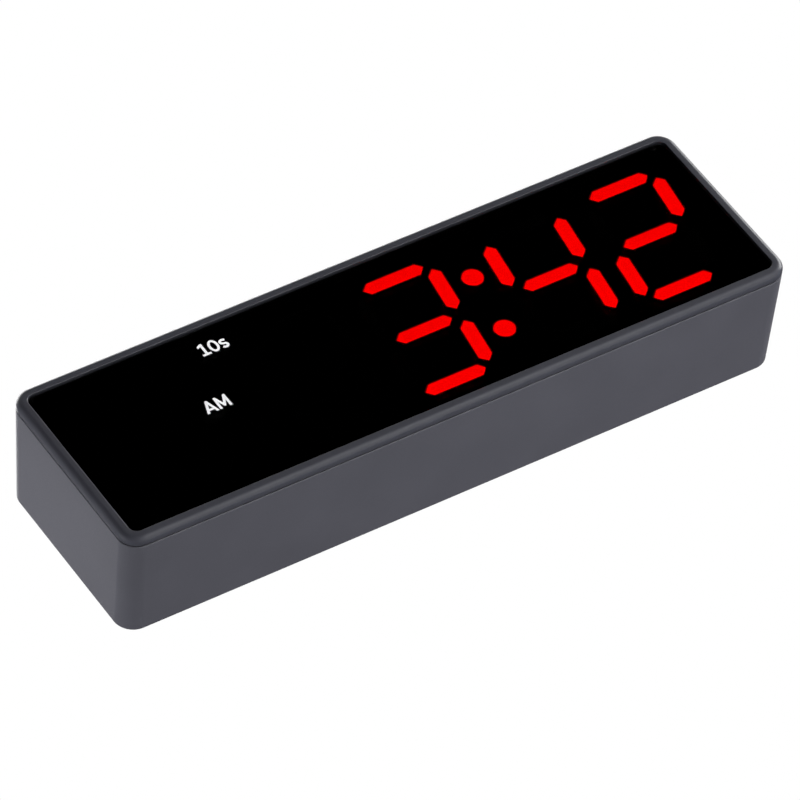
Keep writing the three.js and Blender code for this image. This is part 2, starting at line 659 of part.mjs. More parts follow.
/** Snooze bar's hole in the top wall: an outline in the top view, taken down through the wall. */
function snoozeHole() {
  const outline = slotOutline(SNOOZE.length + 2 * FIT_GAP, SNOOZE.width + 2 * FIT_GAP);
  const shape = new THREE.Shape(outline.map(([x, y]) => new THREE.Vector2(x + snoozeX, y + snoozeY)));
  const bottom = innerZ - OVERRUN;
  const depth = HEIGHT / 2 - bottom + OVERRUN;
  const hole = new THREE.ExtrudeGeometry(shape, { depth, bevelEnabled: false });
  return solid(hole.translate(0, 0, bottom));
}

/** Hexagonal patch of sound holes: [x, z] about the patch's middle. */
function soundHoleSpots(rings = 2) {
  const spots = [];
  for (let row = -rings; row <= rings; row += 1) {
    const inRow = 2 * rings + 1 - Math.abs(row);
    for (let hole = 0; hole < inRow; hole += 1) {
      const x = (hole - (inRow - 1) / 2) * SOUND_HOLE_PITCH;
      spots.push([x, row * SOUND_HOLE_PITCH * Math.sqrt(0.75)]);
    }
  }
  return spots;
}

function housingShape() {
  const back = [...roundingSteps].reverse().map(({ inset, along }) =>
    housingSection(DEPTH - along * REAR_EDGE, inset * REAR_EDGE));
  const shell = loft([housingSection(housingFront), ...back]);
  const hollow = loft([housingSection(housingFront - OVERRUN, WALL), housingSection(backInner, WALL)]);
  const skirtX = LENGTH / 2 - SKIRT_INSET;
  const skirtZ = HEIGHT / 2 - SKIRT_INSET;
  const lip = prism(
    roundedOutline(skirtX + FIT_GAP, skirtZ + FIT_GAP, CORNER_RADIUS - SKIRT_INSET + FIT_GAP),
    housingFront - OVERRUN,
    housingFront + LIP_DEPTH,
  );
  const catchPockets = catchSpots().map(([x, side]) => block(
    [x - CATCH_LENGTH / 2 - FIT_GAP, x + CATCH_LENGTH / 2 + FIT_GAP],
    [BEZEL_SIDE + CATCH_SETBACK - FIT_GAP, BEZEL_SIDE + CATCH_SETBACK + CATCH_DEPTH + FIT_GAP],
    [side * (skirtZ - OVERRUN), side * (skirtZ + CATCH_HEIGHT + FIT_GAP)].sort((a, b) => a - b),
  ));

  const bay = block(
    [bayLeft - BAY_WALL, bayRight + BAY_WALL],
    [bayFloor - BAY_WALL, backInner + WALL / 2],
    [bayBottom - BAY_WALL, bayTop + BAY_WALL],
  );
  const bosses = bossSpots.map(([x, z]) =>
    rod(x, z, POST_RADIUS, mainBoardBack + SOLDER_GAP, backInner + WALL / 2));

  const bayRoom = block([bayLeft, bayRight], [bayFloor, DEPTH + OVERRUN], [bayBottom, bayTop]);
  const doorRoom = block(
    [bayLeft - DOOR_LEDGE, bayRight + DOOR_LEDGE],
    [doorInner - FIT_GAP, DEPTH + OVERRUN],
    [openingBottom, openingTop],
  );
  const tabSlots = tabSpots.map((x) => block(
    [x - TAB_WIDTH / 2 - FIT_GAP, x + TAB_WIDTH / 2 + FIT_GAP],
    [DEPTH - tabSweep - FIT_GAP, backInner],
    [bayTop - OVERRUN, bayTop + BAY_WALL + OVERRUN],
  ));
  const tabThroats = tabSpots.map((x) => block(
    [x - TAB_WIDTH / 2 - FIT_GAP, x + TAB_WIDTH / 2 + FIT_GAP],
    [backInner - OVERRUN, doorInner],
    [bayTop - OVERRUN, openingTop],
  ));
  const tailSlots = tails.map(({ side, row }) => {
    const wall = side < 0 ? bayLeft - BAY_WALL : bayRight;
    return block(
      [wall - OVERRUN, wall + BAY_WALL + OVERRUN],
      [cellY - TAIL.y / 2 - FIT_GAP, cellY + TAIL.y / 2 + FIT_GAP],
      [cellZ(row) - TAIL.z / 2 - FIT_GAP, cellZ(row) + TAIL.z / 2 + FIT_GAP],
    );
  });
  const pilots = bossSpots.map(([x, z]) =>
    rod(x, z, SCREW.shank + PILOT_GAP, mainBoardBack - OVERRUN, backInner - SCREW_STOP + PILOT_GAP));
  const throughBack = (outline, x, z) => prism(moved(outline, x, z), backInner - OVERRUN, DEPTH + OVERRUN);
  const keyHoles = keyNumbers.map((index) =>
    throughBack(slotOutline(KEY.length + 2 * FIT_GAP, KEY.width + 2 * FIT_GAP), keyX(index), KEY_RISE));
  const socketHole = throughBack(
    slotOutline(SOCKET.width + 2 * FIT_GAP, SOCKET.height + 2 * FIT_GAP), socketX, SOCKET.z,
  );
  const soundHoles = soundHoleSpots().map(([x, z]) =>
    rod(sounderX + x, SOUNDER.z + z, SOUND_HOLE_RADIUS, backInner - OVERRUN, DEPTH + OVERRUN, 6));
  return cut(
    join(cut(shell, hollow, lip, catchPockets), bay, bosses),
    bayRoom, doorRoom, tabSlots, tabThroats, tailSlots, pilots,
    keyHoles, socketHole, soundHoles, snoozeHole(),
  );
}

// ------------------------------------------------------------------ battery door and battery

function doorShape() {
  const edge = { left: bayLeft - DOOR_LEDGE + FIT_GAP, right: bayRight + DOOR_LEDGE - FIT_GAP };
  const top = openingTop - FIT_GAP;
  const bottom = openingBottom + FIT_GAP;
  const panel = block([edge.left, edge.right], [doorInner, DEPTH], [bottom, top]);
  const tabs = tabSpots.map((x) => {
    const width = [x - TAB_WIDTH / 2, x + TAB_WIDTH / 2];
    return join(
      block(width, [tabFront, doorInner + DOOR_THICKNESS / 2], [bayTop - FIT_GAP, top]),
      block(width, [tabFront, tabBack], [bayTop - FIT_GAP, openingTop + TAB_REACH]),
    );
  });
  const latch = block(
    [bayMiddle - LATCH_WIDTH / 2, bayMiddle + LATCH_WIDTH / 2],
    [latchFront, doorInner + DOOR_THICKNESS / 2],
    [bayBottom + FIT_GAP, bayBottom + DOOR_LEDGE],
  );
  const gripZ = bottom + GRIP.rise;
  const halfDisc = arcPoints(bayMiddle, gripZ, GRIP.radius, GRIP.radius, 0, 2, 12);
  const grip = prism(halfDisc, DEPTH - GRIP.depth, DEPTH + OVERRUN);
  const ribs = Array.from({ length: GRIP_RIBS.count }, (_, rib) => {
    const z = gripZ + (rib + 1) * GRIP_RIBS.pitch - GRIP_RIBS.width;
    return block(
      [bayMiddle - GRIP_RIBS.length / 2, bayMiddle + GRIP_RIBS.length / 2],
      [DEPTH - 1.5 * GRIP.depth, DEPTH - GRIP.depth / 4],
      [z, z + GRIP_RIBS.width],
    );
  });
  return join(cut(join(panel, tabs, latch), grip), ribs);
}

/** AAA cell along +X from its flat end, about its own axis. */
function cellShape() {
  const radius = CELL_DIAMETER / 2;
  const shoulder = CELL_LENGTH - CELL_NUB.height;
  const profile = [
    [0, 0], [radius - CELL_RIM, 0], [radius, CELL_RIM], [radius, shoulder - CELL_RIM],
    [radius - CELL_RIM, shoulder], [CELL_NUB.radius, shoulder], [CELL_NUB.radius, CELL_LENGTH],
    [0, CELL_LENGTH],
  ].map(([x, y]) => new THREE.Vector2(x, y));
  return solid(new THREE.LatheGeometry(profile, 24).rotateZ(-Math.PI / 2));
}

/** Conical coil along +X. */
class SpringCurve extends THREE.Curve {
  constructor(z) {
    super();
    this.z = z;
  }

  getPoint(t, target = new THREE.Vector3()) {
    const angle = t * SPRING.turns * 2 * Math.PI;
    const radius = THREE.MathUtils.lerp(SPRING.foot, SPRING.tip, t);
    const length = PLATE_THICKNESS / 2 + SPRING_LENGTH - SPRING.wire;
    return target.set(t * length, radius * Math.cos(angle), this.z + radius * Math.sin(angle));
  }
}

/** Solid along a curve with a round section. */
function tube(curve, radius, sides, steps) {
  const section = new THREE.Shape(arcPoints(0, 0, radius, radius, 0, 4, sides).slice(1)
    .map(([x, y]) => new THREE.Vector2(x, y)));
  return solid(new THREE.ExtrudeGeometry(section, { extrudePath: curve, steps, bevelEnabled: false }));
}

/** What touches one cell's end: a coil or a round nib standing on the plate towards +X. */
function contactTip(kind, z) {
  if (kind === 'spring') return tube(new SpringCurve(z), SPRING.wire, 5, 24);
  const length = PLATE_THICKNESS / 2 + NIB_LENGTH;
  const nib = new THREE.CylinderGeometry(NIB_RADIUS, NIB_RADIUS, length, 16);
  return solid(nib.rotateZ(-Math.PI / 2).translate(length / 2, 0, z));
}

/**
 * Contact plate at one end of the bay: a plate over some rows, each with a spring or a nib, and
 * where it is a terminal a tail through the bay's wall. Built about the plate, facing +X.
 */
function contactShape(kinds, tail) {
  const pitch = CELL_DIAMETER + CELL_GAP;
  const rowZ = (row) => -row * pitch;
  const plate = block(
    [-PLATE_THICKNESS / 2, PLATE_THICKNESS / 2],
    [-PLATE_SIDE / 2, PLATE_SIDE / 2],
    [rowZ(kinds.length - 1) - PLATE_SIDE / 2, PLATE_SIDE / 2],
  );
  const tips = kinds.map((kind, row) => contactTip(kind, rowZ(row)));
  const reach = PLATE_THICKNESS / 2 + CELL_GAP + BAY_WALL + TAIL.reach;
  const tails = tail ? [block([-reach, 0], [-TAIL.y / 2, TAIL.y / 2], [-TAIL.z / 2, TAIL.z / 2])] : [];
  return join(plate, tips, tails);
}

// ------------------------------------------------------------------ electronics

/** Small-outline chip lying on a board at y = 0, its body towards -Y. */
function chipShape() {
  const body = block(
    [-CHIP.length / 2, CHIP.length / 2], [-CHIP.height, -SOLDER_GAP], [-CHIP.width / 2, CHIP.width / 2],
  );
  const legs = [];
  for (let leg = 0; leg < CHIP.legs; leg += 1) {
    const x = (leg - (CHIP.legs - 1) / 2) * CHIP.pitch;
    const across = CHIP.width / 2 + CHIP.reach;
    legs.push(block(
      [x - CHIP.leg / 2, x + CHIP.leg / 2],
      [-CHIP.height / 2, -SOLDER_GAP - CHIP.leg / 2],
      [-across, across],
    ));
  }
  return join(body, legs);
}

/** Crystal can lying along X at y = 0, towards -Y. */
function crystalShape() {
  const can = new THREE.CylinderGeometry(CRYSTAL.radius, CRYSTAL.radius, CRYSTAL.length, 16)
    .rotateZ(Math.PI / 2).translate(0, -CRYSTAL.radius, 0);
  const lead = (side) => block(
    [0, CRYSTAL.length / 2 + CRYSTAL.radius],
    [-CRYSTAL.radius - CRYSTAL.lead / 2, -CRYSTAL.radius + CRYSTAL.lead / 2],
    [(side * CRYSTAL.spread - CRYSTAL.lead) / 2, (side * CRYSTAL.spread + CRYSTAL.lead) / 2],
  );
  return join(solid(can), lead(-1), lead(1));
}

/** Surface-mounted sounder standing on a board at y = 0, its mouth towards +Y. */
function sounderShape() {
  const half = SOUNDER.side / 2;
  const body = prism(roundedOutline(half, half, SOUNDER.corner, 3), 0, SOUNDER.depth);
  return cut(body, rod(0, 0, SOUNDER.mouth, SOUNDER.depth / 2, SOUNDER.depth + OVERRUN, 12));
}

/** Upright power socket standing on a board at y = 0, its mouth towards +Y. */
function socketShape(depth) {
  const shell = prism(slotOutline(SOCKET.width, SOCKET.height, 4), 0, depth);
  const mouth = prism(
    slotOutline(SOCKET.width - 2 * SOCKET.wall, SOCKET.height - 2 * SOCKET.wall, 4),
    SOCKET.base,
    depth + OVERRUN,
  );
  const tongue = block(
    [-TONGUE.width / 2, TONGUE.width / 2],
    [SOCKET.base / 2, depth - SOCKET.base],
    [-TONGUE.height / 2, TONGUE.height / 2],
  );
  return join(cut(shell, mouth), tongue);
}

const plungerRoom = (travel) => PLUNGER_SINK + travel + FIT_GAP;

/** Push switch standing on y = 0, with a bore for the plunger that the button carries. */
function switchShape(height, travel) {
  const half = SWITCH_WIDTH / 2;
  const body = block([-half, half], [0, height], [-half, half]);
  return cut(body, rod(0, 0, PLUNGER_RADIUS + FIT_GAP, height - plungerRoom(travel), height + OVERRUN));
}

/**
 * Push button with its face at y = 0 and the clock towards +Y: a cap with a rounded face edge, a
 * flange that holds it in and a plunger that reaches its switch.
 */
function buttonShape({ length, width, edge, flangeFrom, flangeTo, plungerTo, plungerZ }) {
  const section = (y, inset) => ({ y, outline: slotOutline(length - 2 * inset, width - 2 * inset) });
  const face = roundingSteps.map(({ inset, along }) => section(along * edge, inset * edge));
  const cap = loft([...face, section(flangeTo, 0)]);
  const flange = prism(
    slotOutline(length + 2 * FLANGE_WIDTH, width + 2 * FLANGE_WIDTH), flangeFrom, flangeTo,
  );
  const plunger = rod(0, plungerZ, PLUNGER_RADIUS, flangeFrom, plungerTo);
  return join(cap, flange, plunger);
}

/** Pan-head screw with its head's underside at y = 0 and its thread towards -Y. */
function screwShape(length) {
  const profile = [
    [0, 0], [SCREW.head, 0], [SCREW.head, SCREW.rim],
    [SCREW.head - SCREW.bevel, SCREW.depth], [0, SCREW.depth],
  ].map(([x, y]) => new THREE.Vector2(x, y));
  const head = solid(new THREE.LatheGeometry(profile, 16));
  const cross = [[SCREW.cross, SCREW.slot], [SCREW.slot, SCREW.cross]].map(([x, z]) =>
    block([-x, x], [SCREW.depth / 2, SCREW.depth + OVERRUN], [-z, z]));
  return cut(join(head, rod(0, 0, SCREW.shank, -length, SCREW.depth / 4, 12)), cross);
}

/** Ribbon between the boards with a plug at each end. */
function ribbonShape() {
  const { lowZ, highZ } = RIBBON;
  const x = mainBoardRight - RIBBON.x;
  const plug = (y0, y1, z) => block(
    [x - PLUG.width / 2, x + PLUG.width / 2],
    [y0, y1],
    [z - PLUG.height / 2, z + PLUG.height / 2],
  );
  const strip = (y0, y1, z0, z1) => block([x - RIBBON.width / 2, x + RIBBON.width / 2], [y0, y1], [z0, z1]);
  const low = displayBoardBack + SOLDER_GAP;
  const high = mainBoardFront - SOLDER_GAP;
  const half = RIBBON.thickness / 2;
  const middle = (low + high) / 2;
  return join(
    plug(low, low + PLUG.depth, lowZ),
    plug(high - PLUG.depth, high, highZ),
    strip(low + PLUG.depth / 2, middle + half, lowZ - half, lowZ + half),
    strip(middle - half, middle + half, lowZ - half, highZ + half),
    strip(middle - half, high - PLUG.depth / 2, highZ - half, highZ + half),
  );
}

function wireShape(points, steps) {
  const curve = new THREE.CatmullRomCurve3(points.map(([x, y, z]) => new THREE.Vector3(x, y, z)));
  return tube(curve, WIRE.radius, WIRE.sides, steps);
}

/** From the left terminal over the bay to the back of the main board. */
function negativeWireShape() {
  const tailEnd = bayLeft - BAY_WALL - TAIL.reach;
  const overBay = bayTop + BAY_WALL + FIT_GAP + WIRE.radius;
  const y = cellY + WIRE.behind;
  return wireShape([
    [tailEnd - FIT_GAP, cellY, cellZ(0)],
    [tailEnd - WIRE.bend, cellY + WIRE.radius, cellZ(0) + WIRE.bend + WIRE.radius],
    [tailEnd - WIRE.slack, y, overBay - WIRE.bend],
    [tailEnd + WIRE.slack, y, overBay],
    [bayMiddle, y, overBay],
    [bayRight, y, overBay],
    [mainBoardLeft - WIRE.radius, y, overBay - WIRE.slack],
    [mainBoardLeft + WIRE.slack, y, mainBoardTop - WIRE.slack],
    [mainBoardLeft + WIRE.bend, mainBoardBack + FIT_GAP, mainBoardTop - 3 * WIRE.slack],
  ], 30);
}

/** From the right terminal round the main board's edge to its front. */
function positiveWireShape() {
  const tailEnd = bayRight + BAY_WALL + TAIL.reach;
  const z = cellZ(CELL_COUNT - 1);
  return wireShape([
    [tailEnd - TAIL.reach / 2, cellY - TAIL.y / 2 - FIT_GAP, z],
    [tailEnd - WIRE.radius, cellY - WIRE.bend - FIT_GAP, z],
    [mainBoardLeft + WIRE.radius, mainBoardFront - WIRE.bend - FIT_GAP, z + WIRE.slack],
    [mainBoardLeft + WIRE.bend, mainBoardFront - 2 * FIT_GAP, z + 2 * WIRE.slack],
  ], 10);
}

// ------------------------------------------------------------------ assembly

const front = new THREE.Group();
front.name = 'front';
front.add(
  piece('front_bezel', bezelShape(), MATERIALS.bezel),
  piece('display_lens', lensShape(), MATERIALS.lens),
  piece('reflector_block', reflectorShape(), MATERIALS.reflector),
  piece('segment_diffuser', diffuserShape(), MATERIALS.diffuser),
  piece('display_board', displayBoardShape(), MATERIALS.board),
  piece('legend_10s', timerLegend.shape, MATERIALS.white),
  piece('legend_am', morningLegend.shape, MATERIALS.white),
);
litSpots.forEach(({ digit, segment, outline }) => {
  front.add(piece(`${digit}_bar_${segment}`, prism(outline, reflectorFront, barBack), MATERIALS.red));
});
dotSpots.forEach(({ name, x, z }) => {
  front.add(piece(name, rod(0, 0, DOT_RADIUS, reflectorFront, barBack, 36), MATERIALS.red, [x, 0, z]));
});
const driverChip = piece('driver_chip', chipShape(), MATERIALS.chip,
  [mainBoardLeft + DRIVER_CHIP.x, displayBoardBack, DRIVER_CHIP.z]);
driverChip.rotation.z = Math.PI;
front.add(driverChip);
const displayScrew = screwShape(displayBoardBack + SOLDER_GAP - screwTip);
postCorners.forEach(([x, z], index) => {
  const place = [x, displayBoardBack + SOLDER_GAP, z];
  front.add(piece(`display_board_screw_${index + 1}`, displayScrew, MATERIALS.steel, place));
});

const rear = new THREE.Group();
rear.name = 'rear';
rear.add(
  piece('housing', housingShape(), MATERIALS.housing),
  piece('main_board', boardShape(
    [mainBoardLeft, mainBoardRight], [mainBoardBottom, mainBoardTop], mainBoardFront, bossSpots,
  ), MATERIALS.board),
  piece('clock_chip', chipShape(), MATERIALS.chip,
    [mainBoardLeft + CLOCK_CHIP.x, mainBoardFront, CLOCK_CHIP.z]),
  piece('crystal', crystalShape(), MATERIALS.steel,
    [mainBoardLeft + CRYSTAL.x, mainBoardFront - SOLDER_GAP, CRYSTAL.z]),
  piece('sounder', sounderShape(), MATERIALS.chip, [sounderX, mainBoardBack + SOLDER_GAP, SOUNDER.z]),
  piece('power_socket', socketShape(DEPTH - FIT_GAP - mainBoardBack - SOLDER_GAP), MATERIALS.steel,
    [socketX, mainBoardBack + SOLDER_GAP, SOCKET.z]),
  piece('ribbon_cable', ribbonShape(), MATERIALS.ribbon),
);
const boardScrewHead = mainBoardFront - SOLDER_GAP;
const boardScrew = screwShape(backInner - SCREW_STOP - boardScrewHead);
bossSpots.forEach(([x, z], index) => {
  const screw = piece(`main_board_screw_${index + 1}`, boardScrew, MATERIALS.steel, [x, boardScrewHead, z]);
  screw.rotation.z = Math.PI;
  rear.add(screw);
});

const power = new THREE.Group();
power.name = 'power';
power.add(piece('battery_door', doorShape(), MATERIALS.housing));
const cell = cellShape();
const springEnd = CELL_GAP + PLATE_THICKNESS + SPRING_LENGTH + CELL_GAP;
for (let row = 0; row < CELL_COUNT; row += 1) {
  const facesRight = row % 2 === 0;
  const flatEnd = facesRight ? bayLeft + springEnd : bayRight - springEnd;
  const battery = piece(`battery_cell_${row + 1}`, cell, MATERIALS.cell, [flatEnd, cellY, cellZ(row)]);
  battery.rotation.z = facesRight ? 0 : Math.PI;
  power.add(battery);
}
const leftPlate = bayLeft + CELL_GAP + PLATE_THICKNESS / 2;
const rightPlate = bayRight - CELL_GAP - PLATE_THICKNESS / 2;
[
  { name: 'contact_negative', side: -1, row: 0, kinds: ['spring'], tail: true },
  { name: 'contact_bridge_left', side: -1, row: 1, kinds: ['nib', 'spring'], tail: false },
  { name: 'contact_bridge_right', side: 1, row: 0, kinds: ['nib', 'spring'], tail: false },
  { name: 'contact_positive', side: 1, row: 2, kinds: ['nib'], tail: true },
].forEach(({ name, side, row, kinds, tail }) => {
  const place = [side < 0 ? leftPlate : rightPlate, cellY, cellZ(row)];
  const contact = piece(name, contactShape(kinds, tail), MATERIALS.nickel, place);
  contact.rotation.z = side < 0 ? 0 : Math.PI;
  power.add(contact);
});
power.add(
  piece('battery_wire_negative', negativeWireShape(), MATERIALS.blackWire),
  piece('battery_wire_positive', positiveWireShape(), MATERIALS.redWire),
);

const controls = new THREE.Group();
controls.name = 'controls';
const snoozeFace = HEIGHT / 2 - SNOOZE.sink;
const snoozeBar = piece('snooze_bar', buttonShape({
  length: SNOOZE.length,
  width: SNOOZE.width,
  edge: SNOOZE.edge,
  flangeFrom: snoozeFace - flangeTop,
  flangeTo: snoozeFace - flangeBottom,
  plungerTo: snoozeFace - mainBoardTop + PLUNGER_SINK,
  plungerZ: SNOOZE_AHEAD,
}), MATERIALS.controls, [snoozeX, snoozeY, snoozeFace]);
snoozeBar.rotation.x = -Math.PI / 2;
const snoozeSwitchShape = switchShape(SNOOZE_SWITCH_HEIGHT, SNOOZE.travel);
const snoozeSwitch = piece('snooze_switch', snoozeSwitchShape, MATERIALS.switches,
  [snoozeX, snoozeSwitchY, mainBoardTop - SNOOZE_SWITCH_HEIGHT]);
snoozeSwitch.rotation.x = Math.PI / 2;
controls.add(snoozeBar, snoozeSwitch);

const keyFace = DEPTH - KEY.sink;
const key = buttonShape({
  length: KEY.length,
  width: KEY.width,
  edge: KEY.edge,
  flangeFrom: keyFace - keyFlangeBack,
  flangeTo: keyFace - keyFlangeFront,
  plungerTo: keyFace - switchTop + PLUNGER_SINK,
  plungerZ: 0,
});
const keySwitch = switchShape(SWITCH_HEIGHT, KEY.travel);
['set', 'up', 'down', 'alarm'].forEach((name, index) => {
  const cap = piece(`${name}_key`, key, MATERIALS.controls, [keyX(index), keyFace, KEY_RISE]);
  cap.rotation.z = Math.PI;
  const place = [keyX(index), mainBoardBack + SOLDER_GAP, KEY_RISE];
  controls.add(cap, piece(`${name}_switch`, keySwitch, MATERIALS.switches, place));
});

const clock = new THREE.Group();
clock.name = 'alarm_clock';
clock.position.set(0, -DEPTH / 2, HEIGHT / 2);
clock.add(front, rear, power, controls);

export default clock;
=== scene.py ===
"""The looks of a slim LED alarm clock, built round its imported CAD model."""

import json
import math

import bmesh
import bpy
from mathutils import Matrix, Vector


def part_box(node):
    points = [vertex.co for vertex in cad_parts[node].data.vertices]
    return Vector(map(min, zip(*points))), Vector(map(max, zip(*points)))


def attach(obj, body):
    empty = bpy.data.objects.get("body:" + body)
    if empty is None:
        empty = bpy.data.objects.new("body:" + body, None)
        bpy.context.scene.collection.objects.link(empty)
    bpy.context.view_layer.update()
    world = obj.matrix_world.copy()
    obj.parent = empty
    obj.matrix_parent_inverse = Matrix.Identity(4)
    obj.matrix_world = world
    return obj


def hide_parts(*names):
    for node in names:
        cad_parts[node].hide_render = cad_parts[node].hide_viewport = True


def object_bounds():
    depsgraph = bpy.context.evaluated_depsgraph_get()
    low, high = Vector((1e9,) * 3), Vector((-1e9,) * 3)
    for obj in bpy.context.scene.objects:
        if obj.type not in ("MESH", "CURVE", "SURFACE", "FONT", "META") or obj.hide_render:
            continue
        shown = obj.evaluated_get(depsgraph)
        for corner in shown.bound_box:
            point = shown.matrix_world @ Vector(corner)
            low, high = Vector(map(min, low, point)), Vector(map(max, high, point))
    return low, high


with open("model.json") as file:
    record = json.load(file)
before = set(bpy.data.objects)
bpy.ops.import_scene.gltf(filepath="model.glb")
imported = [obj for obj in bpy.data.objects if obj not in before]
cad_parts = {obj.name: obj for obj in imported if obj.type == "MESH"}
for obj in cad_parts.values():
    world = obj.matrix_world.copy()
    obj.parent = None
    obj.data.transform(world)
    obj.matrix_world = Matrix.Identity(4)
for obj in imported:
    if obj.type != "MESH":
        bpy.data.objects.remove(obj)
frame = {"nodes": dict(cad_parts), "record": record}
CAD_LOW, CAD_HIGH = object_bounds()

# Shapes are written in millimetres in the clock's own frame: x to the reader's right, d the depth
# behind the front, z up from mid-height.
MM = 0.001
MIDDLE = (CAD_LOW + CAD_HIGH) / 2
LENGTH, DEPTH, HEIGHT = (CAD_HIGH - CAD_LOW) / MM


def metres(x, d, z):
    """A point of the clock's own frame as a point of the scene."""
    return Vector((MIDDLE.x + x * MM, CAD_LOW.y + d * MM, MIDDLE.z + z * MM))


def node_box(name):
    """Lowest and highest (x, d, z) of a CAD node, in millimetres."""
    low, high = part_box(name)
    corner = metres(0, 0, 0)
    return [[(point[axis] - corner[axis]) / MM for axis in range(3)] for point in (low, high)]


# ---------------------------------------------------------------- camera, light and floor

TARGET = Vector((-0.00157, 0.00294, 0.01962))
AZIMUTH, ELEVATION, ROLL = math.radians(-29.775), math.radians(-33.953), math.radians(40.3)
DISTANCE = 1.3973
FOCAL_LENGTH, SENSOR = 325.0, 36.0
CLIP = (0.05, 20)

# Soft boxes: direction from the clock, distance and side in metres, the level of brightness that
# each gives, and whether glossy surfaces mirror it.
LIGHTS = (
    ("light_left", (-0.9, 0.2, 0.15), 0.35, 0.22, 1.35, False),
    ("light_below", (0.3, -0.38, -0.85), 0.8, 0.6, 1.78, False),
    ("light_front", (0.41, -0.84, -0.4), 2.4, 0.8, 0.11, True),
    ("light_right", (1, -0.3, 0.3), 2.4, 1.6, 1.0, True),
    ("light_top", (0.1, 0.2, 1), 2.4, 2.0, 1.3, True),
    ("light_back", (0.3, 1, 0.5), 2.4, 1.8, 1.1, True),
)
WHITE = (1, 1, 1, 1)

FLOOR_RADIUS = 3.0
FLOOR_SIDES = 96
FLOOR_GAP = 0.0002  # under the clock
FLOOR_COLOUR = (0.82, 0.82, 0.82, 1)


def make_camera():
    data = bpy.data.cameras.new("camera")
    data.lens, data.sensor_width = FOCAL_LENGTH, SENSOR
    data.clip_start, data.clip_end = CLIP
    camera = bpy.data.objects.new("camera", data)
    bpy.context.scene.collection.objects.link(camera)
    back = Vector((
        math.sin(AZIMUTH) * math.cos(ELEVATION),
        -math.cos(AZIMUTH) * math.cos(ELEVATION),
        math.sin(ELEVATION),
    ))
    level = Vector((math.cos(AZIMUTH), math.sin(AZIMUTH), 0))
    upright = back.cross(level)
    right = level * math.cos(ROLL) - upright * math.sin(ROLL)
    up = upright * math.cos(ROLL) + level * math.sin(ROLL)
    turned = Matrix((right, up, back)).transposed().to_4x4()
    camera.matrix_world = Matrix.Translation(TARGET + back * DISTANCE) @ turned
    bpy.context.scene.camera = camera


def soft_box(name, towards, distance, size, level, mirrored):
    """Square area light seen from the clock in a direction. A white surface that faces it gets
    this level of brightness from it."""
    data = bpy.data.lights.new(name, "AREA")
    data.shape, data.size = "SQUARE", size
    data.energy = level * math.pi ** 2 * distance ** 2
    light = bpy.data.objects.new(name, data)
    bpy.context.scene.collection.objects.link(light)
    direction = Vector(towards).normalized()
    light.location = MIDDLE + direction * distance
    light.rotation_mode = "QUATERNION"
    light.rotation_quaternion = direction.to_track_quat("Z", "Y")
    light.visible_camera = False
    light.visible_glossy = mirrored


def make_lights():
    """White surroundings that light nothing, and the soft boxes."""
    world = bpy.data.worlds.new("studio")
    bpy.context.scene.world = world
    world.use_nodes = True
    background = world.node_tree.nodes["Background"]
    background.inputs["Color"].default_value = WHITE
    background.inputs["Strength"].default_value = 1.0
    for ray in ("glossy", "diffuse", "transmission"):
        setattr(world.cycles_visibility, ray, False)
    for light in LIGHTS:
        soft_box(*light)
    bpy.context.scene.view_settings.view_transform = "Standard"


def make_floor():
    """Round pale floor under the clock, open to a view from below."""
    shape = bmesh.new()
    bmesh.ops.create_circle(shape, cap_ends=True, segments=FLOOR_SIDES, radius=FLOOR_RADIUS)
    mesh = bpy.data.meshes.new("floor")
    shape.to_mesh(mesh)
    shape.free()
    floor = bpy.data.objects.new("floor", mesh)
    floor.location = (MIDDLE.x, MIDDLE.y, CAD_LOW.z - FLOOR_GAP)
    bpy.context.scene.collection.objects.link(floor)
    material = bpy.data.materials.new("floor_paper")
    material.use_nodes = True
    tree = material.node_tree
    paper = tree.nodes["Principled BSDF"]
    paper.inputs["Base Color"].default_value = FLOOR_COLOUR
    paper.inputs["Roughness"].default_value = 0.9
    paper.inputs["Specular IOR Level"].default_value = 0.1
    clear = tree.nodes.new("ShaderNodeBsdfTransparent")
    side = tree.nodes.new("ShaderNodeNewGeometry")
    either = tree.nodes.new("ShaderNodeMixShader")
    tree.links.new(side.outputs["Backfacing"], either.inputs["Fac"])
    tree.links.new(paper.outputs["BSDF"], either.inputs[1])
    tree.links.new(clear.outputs["BSDF"], either.inputs[2])
    tree.links.new(either.outputs["Shader"], tree.nodes["Material Output"].inputs["Surface"])
    mesh.materials.append(material)
    for ray in ("diffuse", "glossy", "transmission", "shadow"):
        setattr(floor, "visible_" + ray, False)


# ---------------------------------------------------------------- materials


